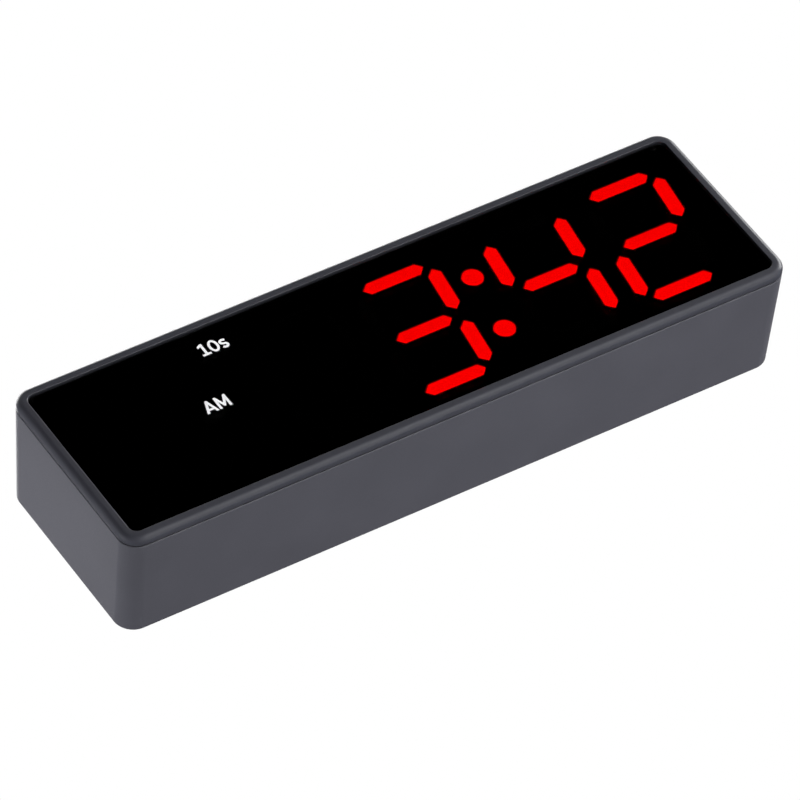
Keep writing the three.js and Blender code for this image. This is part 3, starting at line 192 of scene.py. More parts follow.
class Surface:
    """A principled material and short ways to add nodes to it."""

    def __init__(self, name, roughness, metallic=0.0):
        self.material = bpy.data.materials.new(name)
        self.material.use_nodes = True
        self.tree = self.material.node_tree
        self.shader = self.tree.nodes["Principled BSDF"]
        self.set("Roughness", roughness)
        self.set("Metallic", metallic)
        self.place = self.tree.nodes.new("ShaderNodeTexCoord").outputs["Object"]

    def set(self, socket, value):
        self.shader.inputs[socket].default_value = value

    def link(self, output, socket):
        self.tree.links.new(output, self.shader.inputs[socket])

    def noise(self, size, detail=2.0, stretch=(1, 1, 1)):
        """Noise between 0 and 1 whose features are about size millimetres wide."""
        mapping = self.tree.nodes.new("ShaderNodeMapping")
        mapping.inputs["Scale"].default_value = stretch
        self.tree.links.new(self.place, mapping.inputs["Vector"])
        node = self.tree.nodes.new("ShaderNodeTexNoise")
        node.inputs["Scale"].default_value = 1 / (size * MM)
        node.inputs["Detail"].default_value = detail
        self.tree.links.new(mapping.outputs["Vector"], node.inputs["Vector"])
        return node.outputs["Fac"]

    def ramp(self, value, low, high, positions=(0.3, 0.7)):
        """Colour that goes from one to another as the value goes between two positions."""
        node = self.tree.nodes.new("ShaderNodeValToRGB")
        stops = zip(node.color_ramp.elements, positions, (low, high))
        for element, position, colour in stops:
            element.position = position
            element.color = (*colour, 1)
        self.tree.links.new(value, node.inputs["Fac"])
        return node.outputs["Color"]

    def between(self, value, low, high):
        """Value from 0..1 carried to low..high."""
        node = self.tree.nodes.new("ShaderNodeMapRange")
        node.inputs["To Min"].default_value = low
        node.inputs["To Max"].default_value = high
        self.tree.links.new(value, node.inputs["Value"])
        return node.outputs["Result"]

    def bump(self, height, strength, depth):
        """Relief of the given depth in millimetres."""
        node = self.tree.nodes.new("ShaderNodeBump")
        node.inputs["Strength"].default_value = strength
        node.inputs["Distance"].default_value = depth * MM
        self.tree.links.new(height, node.inputs["Height"])
        if self.shader.inputs["Normal"].is_linked:
            before = self.shader.inputs["Normal"].links[0].from_socket
            self.tree.links.new(before, node.inputs["Normal"])
        self.link(node.outputs["Normal"], "Normal")


def shade(colour, factor):
    return tuple(channel * factor for channel in colour)


def moulded_plastic(name, colour, roughness, grain=0.22, relief=0.02):
    """Plastic with a fine spark-eroded grain, faint clouding and uneven gloss. Its grain's width
    and relief are in millimetres."""
    surface = Surface(name, roughness)
    clouds = surface.noise(size=14, detail=3)
    surface.link(surface.ramp(clouds, shade(colour, 0.95), shade(colour, 1.05)), "Base Color")
    fine = surface.noise(grain, detail=3)
    surface.link(surface.between(fine, roughness - 0.1, roughness + 0.1), "Roughness")
    surface.bump(surface.noise(grain * 4), strength=0.25, depth=relief)
    surface.bump(fine, strength=0.5, depth=relief)
    return surface.material


def brushed_metal(name, colour, roughness, stretch=(0.06, 1, 1)):
    """Rolled metal with fine lines along one axis."""
    surface = Surface(name, roughness, metallic=1.0)
    lines = surface.noise(size=0.12, detail=3, stretch=stretch)
    patches = surface.noise(size=3, detail=3)
    tones = surface.ramp(patches, shade(colour, 0.86), shade(colour, 1.08), (0.25, 0.75))
    surface.link(tones, "Base Color")
    surface.link(surface.between(lines, roughness - 0.08, roughness + 0.12), "Roughness")
    surface.bump(lines, strength=0.3, depth=0.006)
    return surface.material


def smoked_lens():
    """Dark polished acrylic."""
    surface = Surface("smoked_acrylic", 0.0)
    tint = (0.038, 0.038, 0.039)
    haze = surface.noise(size=40)
    surface.link(surface.ramp(haze, shade(tint, 0.97), shade(tint, 1.03)), "Base Color")
    surface.set("Transmission Weight", 1.0)
    surface.set("IOR", 1.49)
    surface.set("Specular IOR Level", 0.5)
    surface.bump(surface.noise(size=25), strength=0.02, depth=0.01)
    return surface.material


def glow(name, colour, deeper, strength):
    """Diffusing light guide with patches a little deeper in colour."""
    surface = Surface(name, 0.5)
    surface.set("Base Color", (*shade(colour, 0.25), 1))
    surface.set("Specular IOR Level", 0.2)
    patches = surface.noise(size=2.5)
    surface.link(surface.ramp(patches, deeper, colour, (0.3, 0.6)), "Emission Color")
    surface.set("Emission Strength", strength)
    surface.bump(surface.noise(size=0.3), strength=0.2, depth=0.02)
    return surface.material


def circuit_board():
    """Green lacquer over copper tracks."""
    surface = Surface("board_lacquer", 0.35)
    tree = surface.tree
    track_size = 3.2
    tracks = tree.nodes.new("ShaderNodeTexBrick")
    tracks.inputs["Scale"].default_value = 1 / (track_size * MM)
    tracks.inputs["Mortar Size"].default_value = 0.08
    tracks.inputs["Color1"].default_value = (0.006, 0.07, 0.025, 1)
    tracks.inputs["Color2"].default_value = (0.009, 0.09, 0.035, 1)
    tracks.inputs["Mortar"].default_value = (0.03, 0.17, 0.07, 1)
    flat = tree.nodes.new("ShaderNodeMapping")
    flat.inputs["Rotation"].default_value = (math.pi / 2, 0, 0)
    tree.links.new(surface.place, flat.inputs["Vector"])
    tree.links.new(flat.outputs["Vector"], tracks.inputs["Vector"])
    surface.link(tracks.outputs["Color"], "Base Color")
    surface.bump(tracks.outputs["Fac"], strength=0.3, depth=0.03)
    surface.link(surface.between(surface.noise(size=0.4), 0.28, 0.42), "Roughness")
    return surface.material


def sleeve(name, colour, roughness=0.25):
    """Thin plastic film, as on a cell, a wire or a ribbon cable, with streaks along X."""
    surface = Surface(name, roughness)
    streaks = surface.noise(size=1.2, detail=3, stretch=(0.1, 1, 1))
    surface.link(surface.ramp(streaks, shade(colour, 0.9), shade(colour, 1.1)), "Base Color")
    gloss = surface.noise(size=0.8)
    surface.link(surface.between(gloss, roughness - 0.06, roughness + 0.08), "Roughness")
    ripples = surface.noise(size=1.5, stretch=(0.3, 1, 1))
    surface.bump(ripples, strength=0.15, depth=0.02)
    surface.set("Coat Weight", 0.3)
    return surface.material


HOUSING_COLOUR = (0.0615, 0.0615, 0.0735)
BEZEL_COLOUR = (0.040, 0.041, 0.051)
# Near-black painted shade for faces in the seam's gap and the bezel's recess.
PAINTED_SHADE_COLOUR = (0.012, 0.012, 0.015)
CONTROL_COLOUR = (0.042, 0.043, 0.05)
PRINT_COLOUR = (0.42, 0.42, 0.44)
BLACK = (0.012, 0.012, 0.014)
MATERIALS = {
    "housing_plastic": moulded_plastic("housing_mould", HOUSING_COLOUR, 0.56),
    "bezel_plastic": moulded_plastic("bezel_satin", BEZEL_COLOUR, 0.35, grain=0.3, relief=0.008),
    # Painted shade for the bezel's inner wall and skirt, and the housing's front rim.
    "bezel_painted_shade": moulded_plastic(
        "bezel_painted_shade_satin", PAINTED_SHADE_COLOUR, 0.5, grain=0.3, relief=0.008),
    "control_plastic": moulded_plastic(
        "control_satin", CONTROL_COLOUR, 0.45, grain=0.2, relief=0.01),
    "key_print": moulded_plastic("key_print_ink", PRINT_COLOUR, 0.5, grain=0.2, relief=0.005),
    "smoked_lens": smoked_lens(),
    "reflector_black": moulded_plastic("reflector_matt", (0.006, 0.006, 0.006), 0.7),
    "diffuser_white": moulded_plastic("diffuser_milk", (0.2, 0.2, 0.19), 0.5),
    "red_light": glow("red_light_guide", (1, 0, 0), (0.95, 0, 0), 27),
    "white_light": glow("white_light_guide", (1, 1, 1), (0.95, 0.95, 0.95), 25),
    "circuit_board": circuit_board(),
    "steel": brushed_metal("steel", (0.5, 0.5, 0.52), 0.3),
    "nickel_contact": brushed_metal("nickel", (0.62, 0.59, 0.53), 0.24, (1, 1, 0.06)),
    "black_component": moulded_plastic(
        "component_epoxy", BLACK, 0.45, grain=0.12, relief=0.008),
    "cell_sleeve": sleeve("cell_film", BLACK),
    "cell_band": sleeve("cell_band_film", (0.42, 0.16, 0.04)),
    "ribbon": sleeve("ribbon_film", (0.6, 0.6, 0.62), 0.4),
    "black_wire": sleeve("black_insulation", (0.01, 0.01, 0.01), 0.4),
    "red_wire": sleeve("red_insulation", (0.42, 0.01, 0.01), 0.4),
}

# ---------------------------------------------------------------- shapes

CORNER_STEPS = 14
EDGE_STEPS = 5
FINE_STEPS = 8
LEAST_RADIUS = 0.3  # of a corner that an inset leaves
STADIUM_FLAT = 0.005  # half of the short straights at a stadium's ends
SMOOTH_BELOW = math.radians(32)
GAP = 0.3  # between pieces that sit in one another
OVERRUN = 1.0  # of a cutter past what it cuts
OVERLAP = 0.5  # of a part into the one it joins


def rounded(half_x, half_z, radius, steps=CORNER_STEPS):
    """Rounded rectangle as (x, z) points, anticlockwise seen from the front."""
    points = []
    for quarter, (side_x, side_z) in enumerate(((1, 1), (-1, 1), (-1, -1), (1, -1))):
        for step in range(steps + 1):
            angle = (quarter + step / steps) * math.pi / 2
            points.append((
                side_x * (half_x - radius) + radius * math.cos(angle),
                side_z * (half_z - radius) + radius * math.sin(angle),
            ))
    return points


def stadium(length, width):
    return rounded(length / 2, width / 2, width / 2 - STADIUM_FLAT)


def circle(radius, steps=32):
    angles = [2 * math.pi * step / steps for step in range(steps)]
    return [(radius * math.cos(angle), radius * math.sin(angle)) for angle in angles]


def shifted(outline, dx, dz):
    return [(x + dx, z + dz) for x, z in outline]


class Solid:
    """A closed mesh that is put together from swept parts."""

    def __init__(self):
        self.points = []
        self.faces = []

    def sweep(self, rings, closed=False):
        """Skin through rings of as many points: capped at both ends, or joined into a loop."""
        count = len(rings[0])
        start = len(self.points)
        self.points += [point for ring in rings for point in ring]
        last = len(rings) if closed else len(rings) - 1
        for ring in range(last):
            here, there = start + ring * count, start + (ring + 1) % len(rings) * count
            for point in range(count):
                after = (point + 1) % count
                self.faces.append((here + point, here + after, there + after, there + point))
        if not closed:
            self.faces.append(tuple(range(start + count - 1, start - 1, -1)))
            end = start + (len(rings) - 1) * count
            self.faces.append(tuple(range(end, end + count)))
        return self

    def layers(self, sections):
        """Sweep through outlines in X and Z at depths: [(depth, outline)]."""
        return self.sweep([[(x, d, z) for x, z in outline] for d, outline in sections])

    def block(self, x, d, z, edge=0.0):
        """Box between two values on each axis, with its long edges along depth rounded."""
        half_x, half_z = (x[1] - x[0]) / 2, (z[1] - z[0]) / 2
        outline = rounded(half_x, half_z, edge, steps=3) if edge else [
            (half_x, half_z), (-half_x, half_z), (-half_x, -half_z), (half_x, -half_z)]
        outline = shifted(outline, sum(x) / 2, sum(z) / 2)
        return self.layers([(d[0], outline), (d[1], outline)])

    def object(self, name, material=None, turn=None):
        """The solid as a Blender object. turn carries its points into the clock's frame."""
        mesh = bpy.data.meshes.new(name)
        points = [turn(point) for point in self.points] if turn else self.points
        mesh.from_pydata([metres(*point) for point in points], [], self.faces)
        shape = bmesh.new()
        shape.from_mesh(mesh)
        bmesh.ops.recalc_face_normals(shape, faces=shape.faces)
        shape.to_mesh(mesh)
        shape.free()
        made = bpy.data.objects.new(name, mesh)
        bpy.context.scene.collection.objects.link(made)
        if material:
            mesh.materials.append(MATERIALS[material])
        return made


def smooth(piece):
    """Round edges shade smoothly and broad faces stay flat."""
    piece.data.polygons.foreach_set("use_smooth", [True] * len(piece.data.polygons))
    piece.data.set_sharp_from_angle(angle=SMOOTH_BELOW)
    weighted = piece.modifiers.new("weighted", "WEIGHTED_NORMAL")
    weighted.keep_sharp = True


def combine(piece, tool, operation):
    """Boolean of one object with another, which is used up."""
    modifier = piece.modifiers.new(operation, "BOOLEAN")
    modifier.operation, modifier.solver, modifier.object = operation, "EXACT", tool
    bpy.context.view_layer.update()
    graph = bpy.context.evaluated_depsgraph_get()
    mesh = bpy.data.meshes.new_from_object(piece.evaluated_get(graph))
    piece.modifiers.clear()
    old = piece.data
    piece.data = mesh
    bpy.data.meshes.remove(old)
    bpy.data.objects.remove(tool)


def finish_piece(piece, body, node):
    """Shades a piece and puts it on its body in place of a CAD node."""
    smooth(piece)
    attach(piece, body)
    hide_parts(node)


def rounding(radius, steps=EDGE_STEPS):
    """Quarter round between a side and a face, as (inset, along) pairs. From the side to the
    face, the inset from the side grows from 0 and the distance along it to the face falls to 0."""
    angles = [math.pi / 2 * step / steps for step in range(steps + 1)]
    return [(radius * (1 - math.cos(angle)), radius * (1 - math.sin(angle))) for angle in angles]


def flare(outline_at, surface, depth, radius, over=OVERRUN):
    """Cutting sections for a hole from a depth out through a surface, with its mouth rounded
    over. outline_at gives its outline at some growth."""
    sections = [(depth, outline_at(0))]
    for inset, along in rounding(radius):
        sections.append((surface - along, outline_at(inset)))
    sections.append((surface + over, outline_at(radius)))
    return sections


def roomy_stadium(length, width, growth):
    """Stadium with a gap and some growth all round."""
    wider = 2 * (GAP + growth)
    return stadium(length + wider, width + wider)


# ---------------------------------------------------------------- bezel and lens

CORNER_RADIUS = 4.0
RIM_WIDTH = 2.2
BEZEL_SIDE = 2.0
BEZEL_EDGE = 1.2
BEZEL_EDGE_STEPS = 10
SKIRT = {"outer": 1.4, "inner": 2.6, "back": 5.0}  # insets of its sides, and its depth
LEDGE = {"inset": 3.4, "front": 2.75, "back": 4.25}  # carries the lens
SMALL_EDGE = 0.15
LENS_CHAMFER = 0.12


def make_bezel():
    def ring(inset, depth):
        radius = max(CORNER_RADIUS - inset, LEAST_RADIUS)
        outline = rounded(LENGTH / 2 - inset, HEIGHT / 2 - inset, radius)
        return [(x, depth, z) for x, z in outline]

    small_edge = rounding(SMALL_EDGE)[::-1]
    ledge_corner = (RIM_WIDTH, LEDGE["front"])
    profile = [(SKIRT["outer"], BEZEL_SIDE)]
    profile += [(inset, BEZEL_SIDE - along) for inset, along in small_edge]
    profile += rounding(BEZEL_EDGE, BEZEL_EDGE_STEPS)
    profile += [(RIM_WIDTH - inset, along) for inset, along in small_edge]
    profile += [
        ledge_corner,
        (LEDGE["inset"], LEDGE["front"]),
        (LEDGE["inset"], LEDGE["back"]),
        (SKIRT["inner"], LEDGE["back"]),
        (SKIRT["inner"], SKIRT["back"]),
        (SKIRT["outer"], SKIRT["back"]),
    ]
    rings = [ring(*point) for point in profile]
    bezel = Solid().sweep(rings, closed=True).object("bezel", "bezel_plastic")
    bezel.data.materials.append(MATERIALS["bezel_painted_shade"])
    # The wall down to the ledge, and all behind it, take a near-black material as painted shade.
    painted_shade_from = profile.index(ledge_corner) - 1
    for polygon in bezel.data.polygons:
        polygon.material_index = int(polygon.index // len(rings[0]) >= painted_shade_from)
    finish_piece(bezel, "clock", "front_bezel")


def make_lens():
    (left, front, bottom), (right, back, top) = node_box("display_lens")
    radius = CORNER_RADIUS - RIM_WIDTH

    def outline(inset):
        return rounded((right - left) / 2 - inset, (top - bottom) / 2 - inset, radius - inset)

    lens = Solid().layers([
        (front, outline(LENS_CHAMFER)),
        (front + LENS_CHAMFER, outline(0)),
        (back - LENS_CHAMFER, outline(0)),
        (back, outline(LENS_CHAMFER)),
    ])
    finish_piece(lens.object("lens", "smoked_lens"), "clock", "display_lens")


# ---------------------------------------------------------------- housing

HOUSING_FRONT = 2.3
HOUSING_DRAFT = 0.55  # in from the bezel's side, at the back
REAR_RADIUS = 4.2
REAR_EDGE = 0.6
WALL = 2.0
BACK_INNER = DEPTH - WALL
LIP = {"inset": 1.1, "back": 5.7}  # thin front lip round the bezel's skirt
HOLE_EDGE = 0.25
SOUND_HOLE = {"radius": 0.65, "pitch": 2.4, "rings": 2, "edge": 0.15, "sides": 24}
KEYS = ("set_key", "up_key", "down_key", "alarm_key")
SNOOZE_HOLE = {"depth": 4.0, "over": 2.0}

# The battery door's panel and the bay behind it; the tabs stand out above the panel.
DOOR_THICKNESS = 1.5
DOOR_INNER = DEPTH - DOOR_THICKNESS
DOOR_LEDGE = 1.0
DOOR_CORNER = 0.5
DOOR_EDGE = 0.25
RECESS_EDGE = 0.2
TAB = {"width": 6.0, "reach": 1.8, "thickness": 1.1, "spacing": 30.0, "edge": 0.3, "tuck": 0.2}
TAB_BACK = BACK_INNER - GAP
TAB_FRONT = TAB_BACK - TAB["thickness"]
TAB_ROOM_FRONT = 21.9  # of the slots in which the tabs swing
LATCH = {"width": 9.0, "front": 22.85}
DOOR_LOW, DOOR_HIGH = node_box("battery_door")
DOOR_X = (DOOR_LOW[0], DOOR_HIGH[0])
DOOR_Z = (DOOR_LOW[2], DOOR_HIGH[2] - TAB["reach"] - GAP)
DOOR_MIDDLE = (sum(DOOR_X) / 2, sum(DOOR_Z) / 2)
DOOR_HALF = ((DOOR_X[1] - DOOR_X[0]) / 2, (DOOR_Z[1] - DOOR_Z[0]) / 2)
TAB_SPOTS = [DOOR_MIDDLE[0] + side * TAB["spacing"] / 2 for side in (-1, 1)]
BAY_X = (DOOR_X[0] + DOOR_LEDGE - GAP, DOOR_X[1] - DOOR_LEDGE + GAP)
BAY_Z = (DOOR_Z[0] + DOOR_LEDGE - GAP, DOOR_Z[1] - DOOR_LEDGE + GAP)
BAY_FLOOR = 13.8
BAY_WALL = 1.2
STAGGER = 0.1  # keeps the faces of two cutters out of one plane
FACES_FRONT = -0.9  # the y of a normal that faces the front is below this


def setback(depth):
    """How far the housing's sides are in from the bezel's."""
    return HOUSING_DRAFT * (depth - HOUSING_FRONT) / (DEPTH - HOUSING_FRONT)


def housing_section(depth, inset=0.0):
    along = (depth - HOUSING_FRONT) / (DEPTH - HOUSING_FRONT)
    radius = CORNER_RADIUS + (REAR_RADIUS - CORNER_RADIUS) * along - inset
    total = setback(depth) + inset
    return depth, rounded(LENGTH / 2 - total, HEIGHT / 2 - total, max(radius, LEAST_RADIUS))


def node_middle(name):
    return [(a + b) / 2 for a, b in zip(*node_box(name))]


def door_outline(growth, radius):
    """The door panel's outline, grown on all sides."""
    outline = rounded(DOOR_HALF[0] + growth, DOOR_HALF[1] + growth, radius, steps=6)
    return shifted(outline, *DOOR_MIDDLE)


def housing_shell():
    """The housing's walls, with the thin lip at the front and the round edge at the back."""
    sections = [
        housing_section(BACK_INNER, WALL),
        housing_section(LIP["back"], WALL),
        housing_section(LIP["back"], LIP["inset"]),
        housing_section(HOUSING_FRONT, LIP["inset"]),
        housing_section(HOUSING_FRONT, SMALL_EDGE),
        housing_section(HOUSING_FRONT + SMALL_EDGE),
    ]
    for inset, along in rounding(REAR_EDGE, FINE_STEPS):
        sections.append(housing_section(DEPTH - along, inset))
    return Solid().layers(sections)


def bay_block():
    """The bay's walls as a full block."""
    return Solid().block(
        (BAY_X[0] - BAY_WALL, BAY_X[1] + BAY_WALL),
        (BAY_FLOOR - BAY_WALL, BACK_INNER + WALL / 2),
        (BAY_Z[0] - BAY_WALL, BAY_Z[1] + BAY_WALL),
    )


def back_holes():
    """Cutters for the door's recess, the keys, the power inlet and the sound holes."""
    low, high = node_box("power_socket")

    def recess(growth):
        return door_outline(GAP + growth, DOOR_CORNER + growth)

    def key_hole(growth):
        return roomy_stadium(KEY["length"], KEY["width"], growth)

    def socket_hole(growth):
        return roomy_stadium(high[0] - low[0], high[2] - low[2], growth)

    def sound_hole(growth):
        return circle(SOUND_HOLE["radius"] + growth, SOUND_HOLE["sides"])

    def through_back(outline_at, x, z, edge=HOLE_EDGE):
        sections = flare(outline_at, DEPTH, BACK_INNER - OVERRUN, edge)
        holes.layers([(depth, shifted(outline, x, z)) for depth, outline in sections])

    holes = Solid().layers(flare(recess, DEPTH, DOOR_INNER - GAP, RECESS_EDGE))
    for name in KEYS:
        x, _, z = node_middle(name)
        through_back(key_hole, x, z)
    x, _, z = node_middle("power_socket")
    through_back(socket_hole, x, z)
    rings, pitch = SOUND_HOLE["rings"], SOUND_HOLE["pitch"]
    row_pitch = pitch * math.sqrt(0.75)
    patch_x, _, patch_z = node_middle("sounder")
    for row in range(-rings, rings + 1):
        in_row = 2 * rings + 1 - abs(row)
        for hole in range(in_row):
            x = patch_x + (hole - (in_row - 1) / 2) * pitch
            z = patch_z + row * row_pitch
            through_back(sound_hole, x, z, SOUND_HOLE["edge"])
    return holes


def tab_room():
    """Cutters for the slots in which the door's tabs swing and for the throats that lead there."""
    slots, throats = Solid(), Solid()
    for spot in TAB_SPOTS:
        width = (spot - TAB["width"] / 2 - GAP, spot + TAB["width"] / 2 + GAP)
        slots.block(
            width, (TAB_ROOM_FRONT, BACK_INNER),
            (BAY_Z[1] - OVERRUN, BAY_Z[1] + BAY_WALL + OVERRUN))
        throats.block(
            width, (BACK_INNER - OVERLAP, DOOR_INNER - STAGGER),
            (BAY_Z[1] - OVERRUN - STAGGER, BAY_Z[1] + DOOR_LEDGE))
    return slots, throats


def snooze_hole():
    """Cutter for the snooze bar's hole in the top."""
    x, depth, _ = node_middle("snooze_bar")
    face = HEIGHT / 2 - setback(depth)

    def outline(growth):
        return shifted(roomy_stadium(SNOOZE["length"], SNOOZE["width"], growth), x, -depth)

    hole = Solid().layers(
        flare(outline, face, face - SNOOZE_HOLE["depth"], HOLE_EDGE, SNOOZE_HOLE["over"]))
    return hole.object("snooze_hole", turn=lambda point: (point[0], -point[2], point[1]))


def make_housing():
    housing = housing_shell().object("housing_shell", "housing_plastic")
    combine(housing, bay_block().object("bay"), "UNION")
    bay_room = Solid().block(BAY_X, (BAY_FLOOR, DEPTH - WALL / 2), BAY_Z)
    combine(housing, bay_room.object("bay_room"), "DIFFERENCE")
    combine(housing, back_holes().object("back_holes"), "DIFFERENCE")
    slots, throats = tab_room()
    combine(housing, slots.object("tab_slots"), "DIFFERENCE")
    combine(housing, throats.object("tab_throats"), "DIFFERENCE")
    combine(housing, snooze_hole(), "DIFFERENCE")
    # The front rim takes a near-black material as painted shade of the bezel's seam.
    housing.data.materials.append(MATERIALS["bezel_painted_shade"])
    rim = metres(0, HOUSING_FRONT + SMALL_EDGE / 2, 0).y
    for polygon in housing.data.polygons:
        if polygon.center.y < rim and polygon.normal.y < FACES_FRONT:
            polygon.material_index = 1
    finish_piece(housing, "clock", "housing")


# ---------------------------------------------------------------- battery door

GRIP = {"radius": 6.0, "depth": 0.7, "rise": 2.2, "edge": 0.2, "steps": 32}
GRIP_RIBS = {"count": 3, "pitch": 1.5, "width": 0.6, "length": 7.0, "root": 0.2}
RIB_SIDE = ((0.35, 0.0), (0.48, 0.08), (0.53, 0.22))  # rise over the grip's floor, in from the side
NUDGE = 0.01  # keeps the faces of two overlapping parts out of one plane


def grip_cutter(grip_z):
    """Cutter for a half disc over the grip's chord, which its rounded mouth passes a little."""
    angles = [math.pi * step / GRIP["steps"] for step in range(GRIP["steps"] + 1)]

    def outline(growth):
        radius = GRIP["radius"] + growth
        arc = [(radius * math.cos(angle), radius * math.sin(angle)) for angle in angles]
        points = [(radius, -growth), *arc[1:-1], (-radius, -growth)]
        return shifted(points, DOOR_MIDDLE[0], grip_z)

    return Solid().layers(flare(outline, DEPTH, DEPTH - GRIP["depth"], GRIP["edge"]))


def grip_ribs(grip_z):
    ribs = Solid()
    floor, width = DEPTH - GRIP["depth"], GRIP_RIBS["width"]
    profile = [(-GRIP_RIBS["root"], 0.0), *RIB_SIDE]
    profile += [(rise, width - across) for rise, across in profile[::-1]]
    for rib in range(GRIP_RIBS["count"]):
        low = grip_z + (rib + 1) * GRIP_RIBS["pitch"] - width
        ends = [DOOR_MIDDLE[0] + side * GRIP_RIBS["length"] / 2 for side in (-1, 1)]
        ribs.sweep([[(end, floor + rise, low + across) for rise, across in profile] for end in ends])
    return ribs


def make_door():
    sections = [(DOOR_INNER, door_outline(0, DOOR_CORNER))]
    sections += [(DEPTH - along, door_outline(-inset, DOOR_CORNER))
                 for inset, along in rounding(DOOR_EDGE)]
    door = Solid().layers(sections).object("door_panel", "housing_plastic")
    grip_z = DOOR_Z[0] + GRIP["rise"]
    combine(door, grip_cutter(grip_z).object("grip"), "DIFFERENCE")
    combine(door, grip_ribs(grip_z).object("ribs"), "UNION")
    roots, tips = Solid(), Solid()
    for spot in TAB_SPOTS:
        half = TAB["width"] / 2
        roots.block(
            (spot - half, spot + half), (TAB_FRONT, DOOR_INNER + OVERLAP),
            (BAY_Z[1] - GAP, DOOR_Z[1]), TAB["edge"])
        tips.block(
            (spot - half + NUDGE, spot + half - NUDGE), (TAB_FRONT + NUDGE, TAB_BACK - NUDGE),
            (BAY_Z[1] - TAB["tuck"], DOOR_HIGH[2]), TAB["edge"])
    combine(door, roots.object("tab_roots"), "UNION")
    combine(door, tips.object("tab_tips"), "UNION")
    latch = Solid().block(
        (DOOR_MIDDLE[0] - LATCH["width"] / 2, DOOR_MIDDLE[0] + LATCH["width"] / 2),
        (LATCH["front"], DOOR_INNER + OVERLAP),
        (BAY_Z[0] + GAP, BAY_Z[0] + DOOR_LEDGE), TAB["edge"])
    combine(door, latch.object("latch"), "UNION")
    finish_piece(door, "battery_door", "battery_door")


# ---------------------------------------------------------------- buttons

# A button's plunger stands off its middle, across its width, by the last value.
SNOOZE = {"length": 56.0, "width": 8.0, "edge": 0.6, "flange": 0.9, "offset": 0.9}
KEY = {"length": 8.0, "width": 4.5, "edge": 0.4, "flange": 0.8, "offset": 0.0}
FLANGE_WIDTH = 1.0
PLUNGER_RADIUS = 1.1

SYMBOL_BAR = {"length": 2.4, "width": 0.5, "pitch": 0.9}
SYMBOLS = {
    "set_key": [
        shifted(stadium(SYMBOL_BAR["length"], SYMBOL_BAR["width"]), 0, row * SYMBOL_BAR["pitch"])
        for row in (-1, 0, 1)
    ],
    "up_key": [[(1.1, -0.8), (0, 0.95), (-1.1, -0.8)]],
    "down_key": [[(1.1, 0.8), (-1.1, 0.8), (0, -0.95)]],
    "alarm_key": [circle(0.95)],
}
SYMBOL_RAISE = 0.12


def button(size, flange_from, plunger_to):
    """Button with its face at depth 0 and its plunger behind it."""
    length, width = size["length"], size["width"]
    flange_to = flange_from + size["flange"]
    flange = stadium(length + 2 * FLANGE_WIDTH, width + 2 * FLANGE_WIDTH)
    plunger = shifted(stadium(2 * PLUNGER_RADIUS, 2 * PLUNGER_RADIUS), 0, size["offset"])
    sections = [(along, stadium(length - 2 * inset, width - 2 * inset))
                for inset, along in reversed(rounding(size["edge"], FINE_STEPS))]
    sections += [
        (flange_from, stadium(length, width)),
        (flange_from, flange),
        (flange_to, flange),
        (flange_to, plunger),
        (plunger_to, plunger),
    ]
    return Solid().layers(sections)


def make_snooze_bar():
    (_, _, bottom), (_, _, face) = node_box("snooze_bar")
    x, depth, _ = node_middle("snooze_bar")

    def turn(point):
        return x + point[0], depth + point[2], face - point[1]

    flange_top = HEIGHT / 2 - HOUSING_DRAFT - WALL - GAP
    bar = button(SNOOZE, face - flange_top, face - bottom)
    cap = bar.object("snooze_cap", "control_plastic", turn)
    finish_piece(cap, "snooze_bar", "snooze_bar")


def make_key(name):
    """Key with its printed symbol raised a little from its face."""
    (_, front, _), (_, face, _) = node_box(name)
    x, _, z = node_middle(name)

    def turn(point):
        return x - point[0], face - point[1], z + point[2]

    cap = button(KEY, face - (BACK_INNER - GAP), face - front)
    made = cap.object(name.replace("_key", "_button"), "control_plastic", turn)
    symbol = Solid()
    for outline in SYMBOLS[name]:
        symbol.layers([(-SYMBOL_RAISE, outline), (SYMBOL_RAISE, outline)])
    combine(made, symbol.object(name + "_symbol", turn=turn), "UNION")
    made.data.materials.append(MATERIALS["key_print"])
    printed = metres(0, face + SYMBOL_RAISE / 2, 0).y
    for polygon in made.data.polygons:
        if polygon.center.y > printed:
            polygon.material_index = 1
    finish_piece(made, name, name)


# ---------------------------------------------------------------- battery cells

NUB = {"radius": 1.9, "height": 1.0, "edge": 0.2}
CELL_STEPS = 40
CELL_RIM = 0.5  # bare metal ends this far in from the cell's side
CELL_BEVEL = {"in": 0.3, "along": 0.15}  # of the flat end
CELL_DIMPLE = {"in": 0.08, "along": 0.1}  # where the sleeve meets the metal round the nub
CAP_RADIUS = 0.4  # of the small flat in the middle of both ends
SLEEVE_TURN = {"in": 0.2, "along": 0.8}  # the sleeve's round edges
BAND_FROM = 0.68  # the band starts at this part of the cell's length
FILM, METAL, BAND = 0, 1, 2  # material slots of a cell


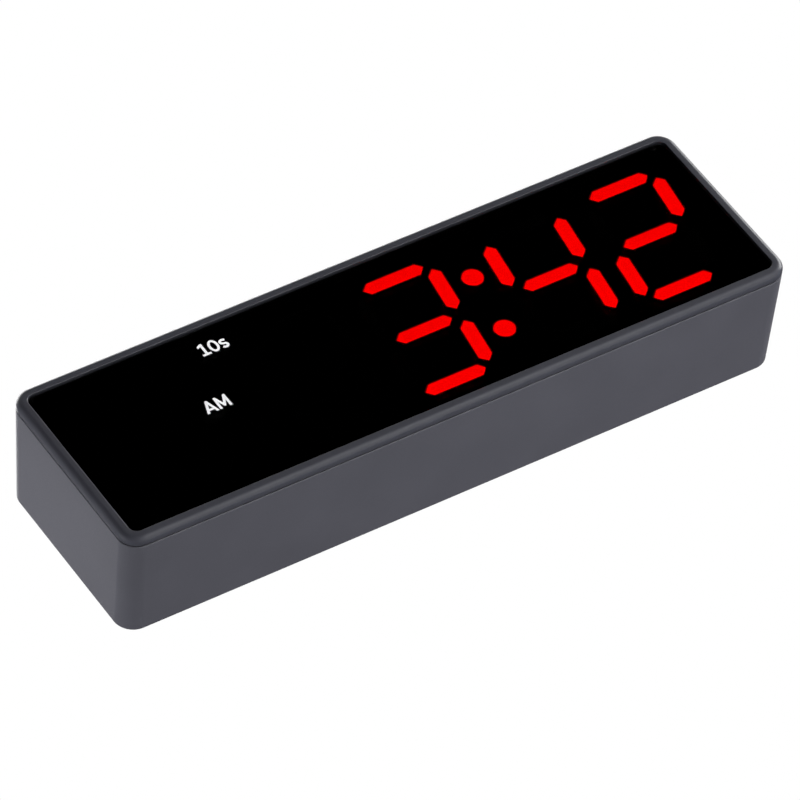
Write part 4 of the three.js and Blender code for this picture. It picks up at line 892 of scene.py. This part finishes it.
def cell_rings(length, radius):
    """Radii along a cell from its flat end, each with the material that follows it."""
    shoulder = length - NUB["height"]
    rim = radius - CELL_RIM
    turn = radius - SLEEVE_TURN["in"]
    dimple = shoulder - CELL_DIMPLE["along"]
    return [
        (0, CAP_RADIUS, METAL),
        (0, rim - CELL_BEVEL["in"], METAL),
        (CELL_BEVEL["along"], rim, METAL),
        (CELL_BEVEL["along"], turn, FILM),
        (SLEEVE_TURN["along"], radius, FILM),
        (length * BAND_FROM, radius, BAND),
        (shoulder - SLEEVE_TURN["along"], radius, BAND),
        (shoulder, turn, BAND),
        (shoulder, rim, METAL),
        (dimple, rim - CELL_DIMPLE["in"], METAL),
        (dimple, NUB["radius"], METAL),
        (length - NUB["edge"], NUB["radius"], METAL),
        (length, NUB["radius"] - NUB["edge"], METAL),
        (length, CAP_RADIUS, METAL),
    ]


def make_cell(row, side):
    """Cell in a two-coloured sleeve that leaves both metal ends bare. Its nub points along +X
    where side is 1 and along -X where side is -1."""
    node = "battery_cell_%d" % row
    low, high = node_box(node)
    _, depth, z = node_middle(node)
    profile = cell_rings(high[0] - low[0], (high[2] - low[2]) / 2)
    rings = [[(along, depth + a, z + b) for a, b in circle(size, CELL_STEPS)]
             for along, size, _ in profile]
    flat_end = low[0] if side > 0 else high[0]
    cell = Solid().sweep(rings).object(
        "cell_%d" % row, "cell_sleeve",
        turn=lambda point: (flat_end + side * point[0], point[1], point[2]))
    cell.data.materials.append(MATERIALS["steel"])
    cell.data.materials.append(MATERIALS["cell_band"])
    for polygon in cell.data.polygons:
        polygon.material_index = profile[polygon.index // CELL_STEPS][2]
    finish_piece(cell, "clock", node)


# ---------------------------------------------------------------- legends

FRONT_WITHIN = 0.01  # a letter's lit faces lie this close to its front


def make_legend(node):
    """Lit letters on a dark light guide."""
    mesh = frame["nodes"][node].data.copy()
    letters = bpy.data.objects.new(node.replace("legend", "letters"), mesh)
    bpy.context.scene.collection.objects.link(letters)
    mesh.materials.clear()
    mesh.materials.append(MATERIALS["reflector_black"])
    mesh.materials.append(MATERIALS["white_light"])
    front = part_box(node)[0].y + FRONT_WITHIN * MM
    for polygon in mesh.polygons:
        polygon.material_index = int(polygon.center.y < front)
    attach(letters, "clock")
    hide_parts(node)


# ---------------------------------------------------------------- carried-over nodes


def paint_nodes():
    """Each CAD node takes the material of its slot in the record."""
    slots = {part["node"]: part["material_slot"] for part in frame["record"]["subparts"]}
    for name, node in frame["nodes"].items():
        node.data.materials.clear()
        node.data.materials.append(MATERIALS[slots[name]])


make_camera()
make_lights()
make_floor()
paint_nodes()
make_bezel()
make_lens()
make_housing()
make_door()
make_snooze_bar()
for key in KEYS:
    make_key(key)
for row, side in ((1, 1), (2, -1), (3, 1)):
    make_cell(row, side)
for legend in ("legend_10s", "legend_am"):
    make_legend(legend)
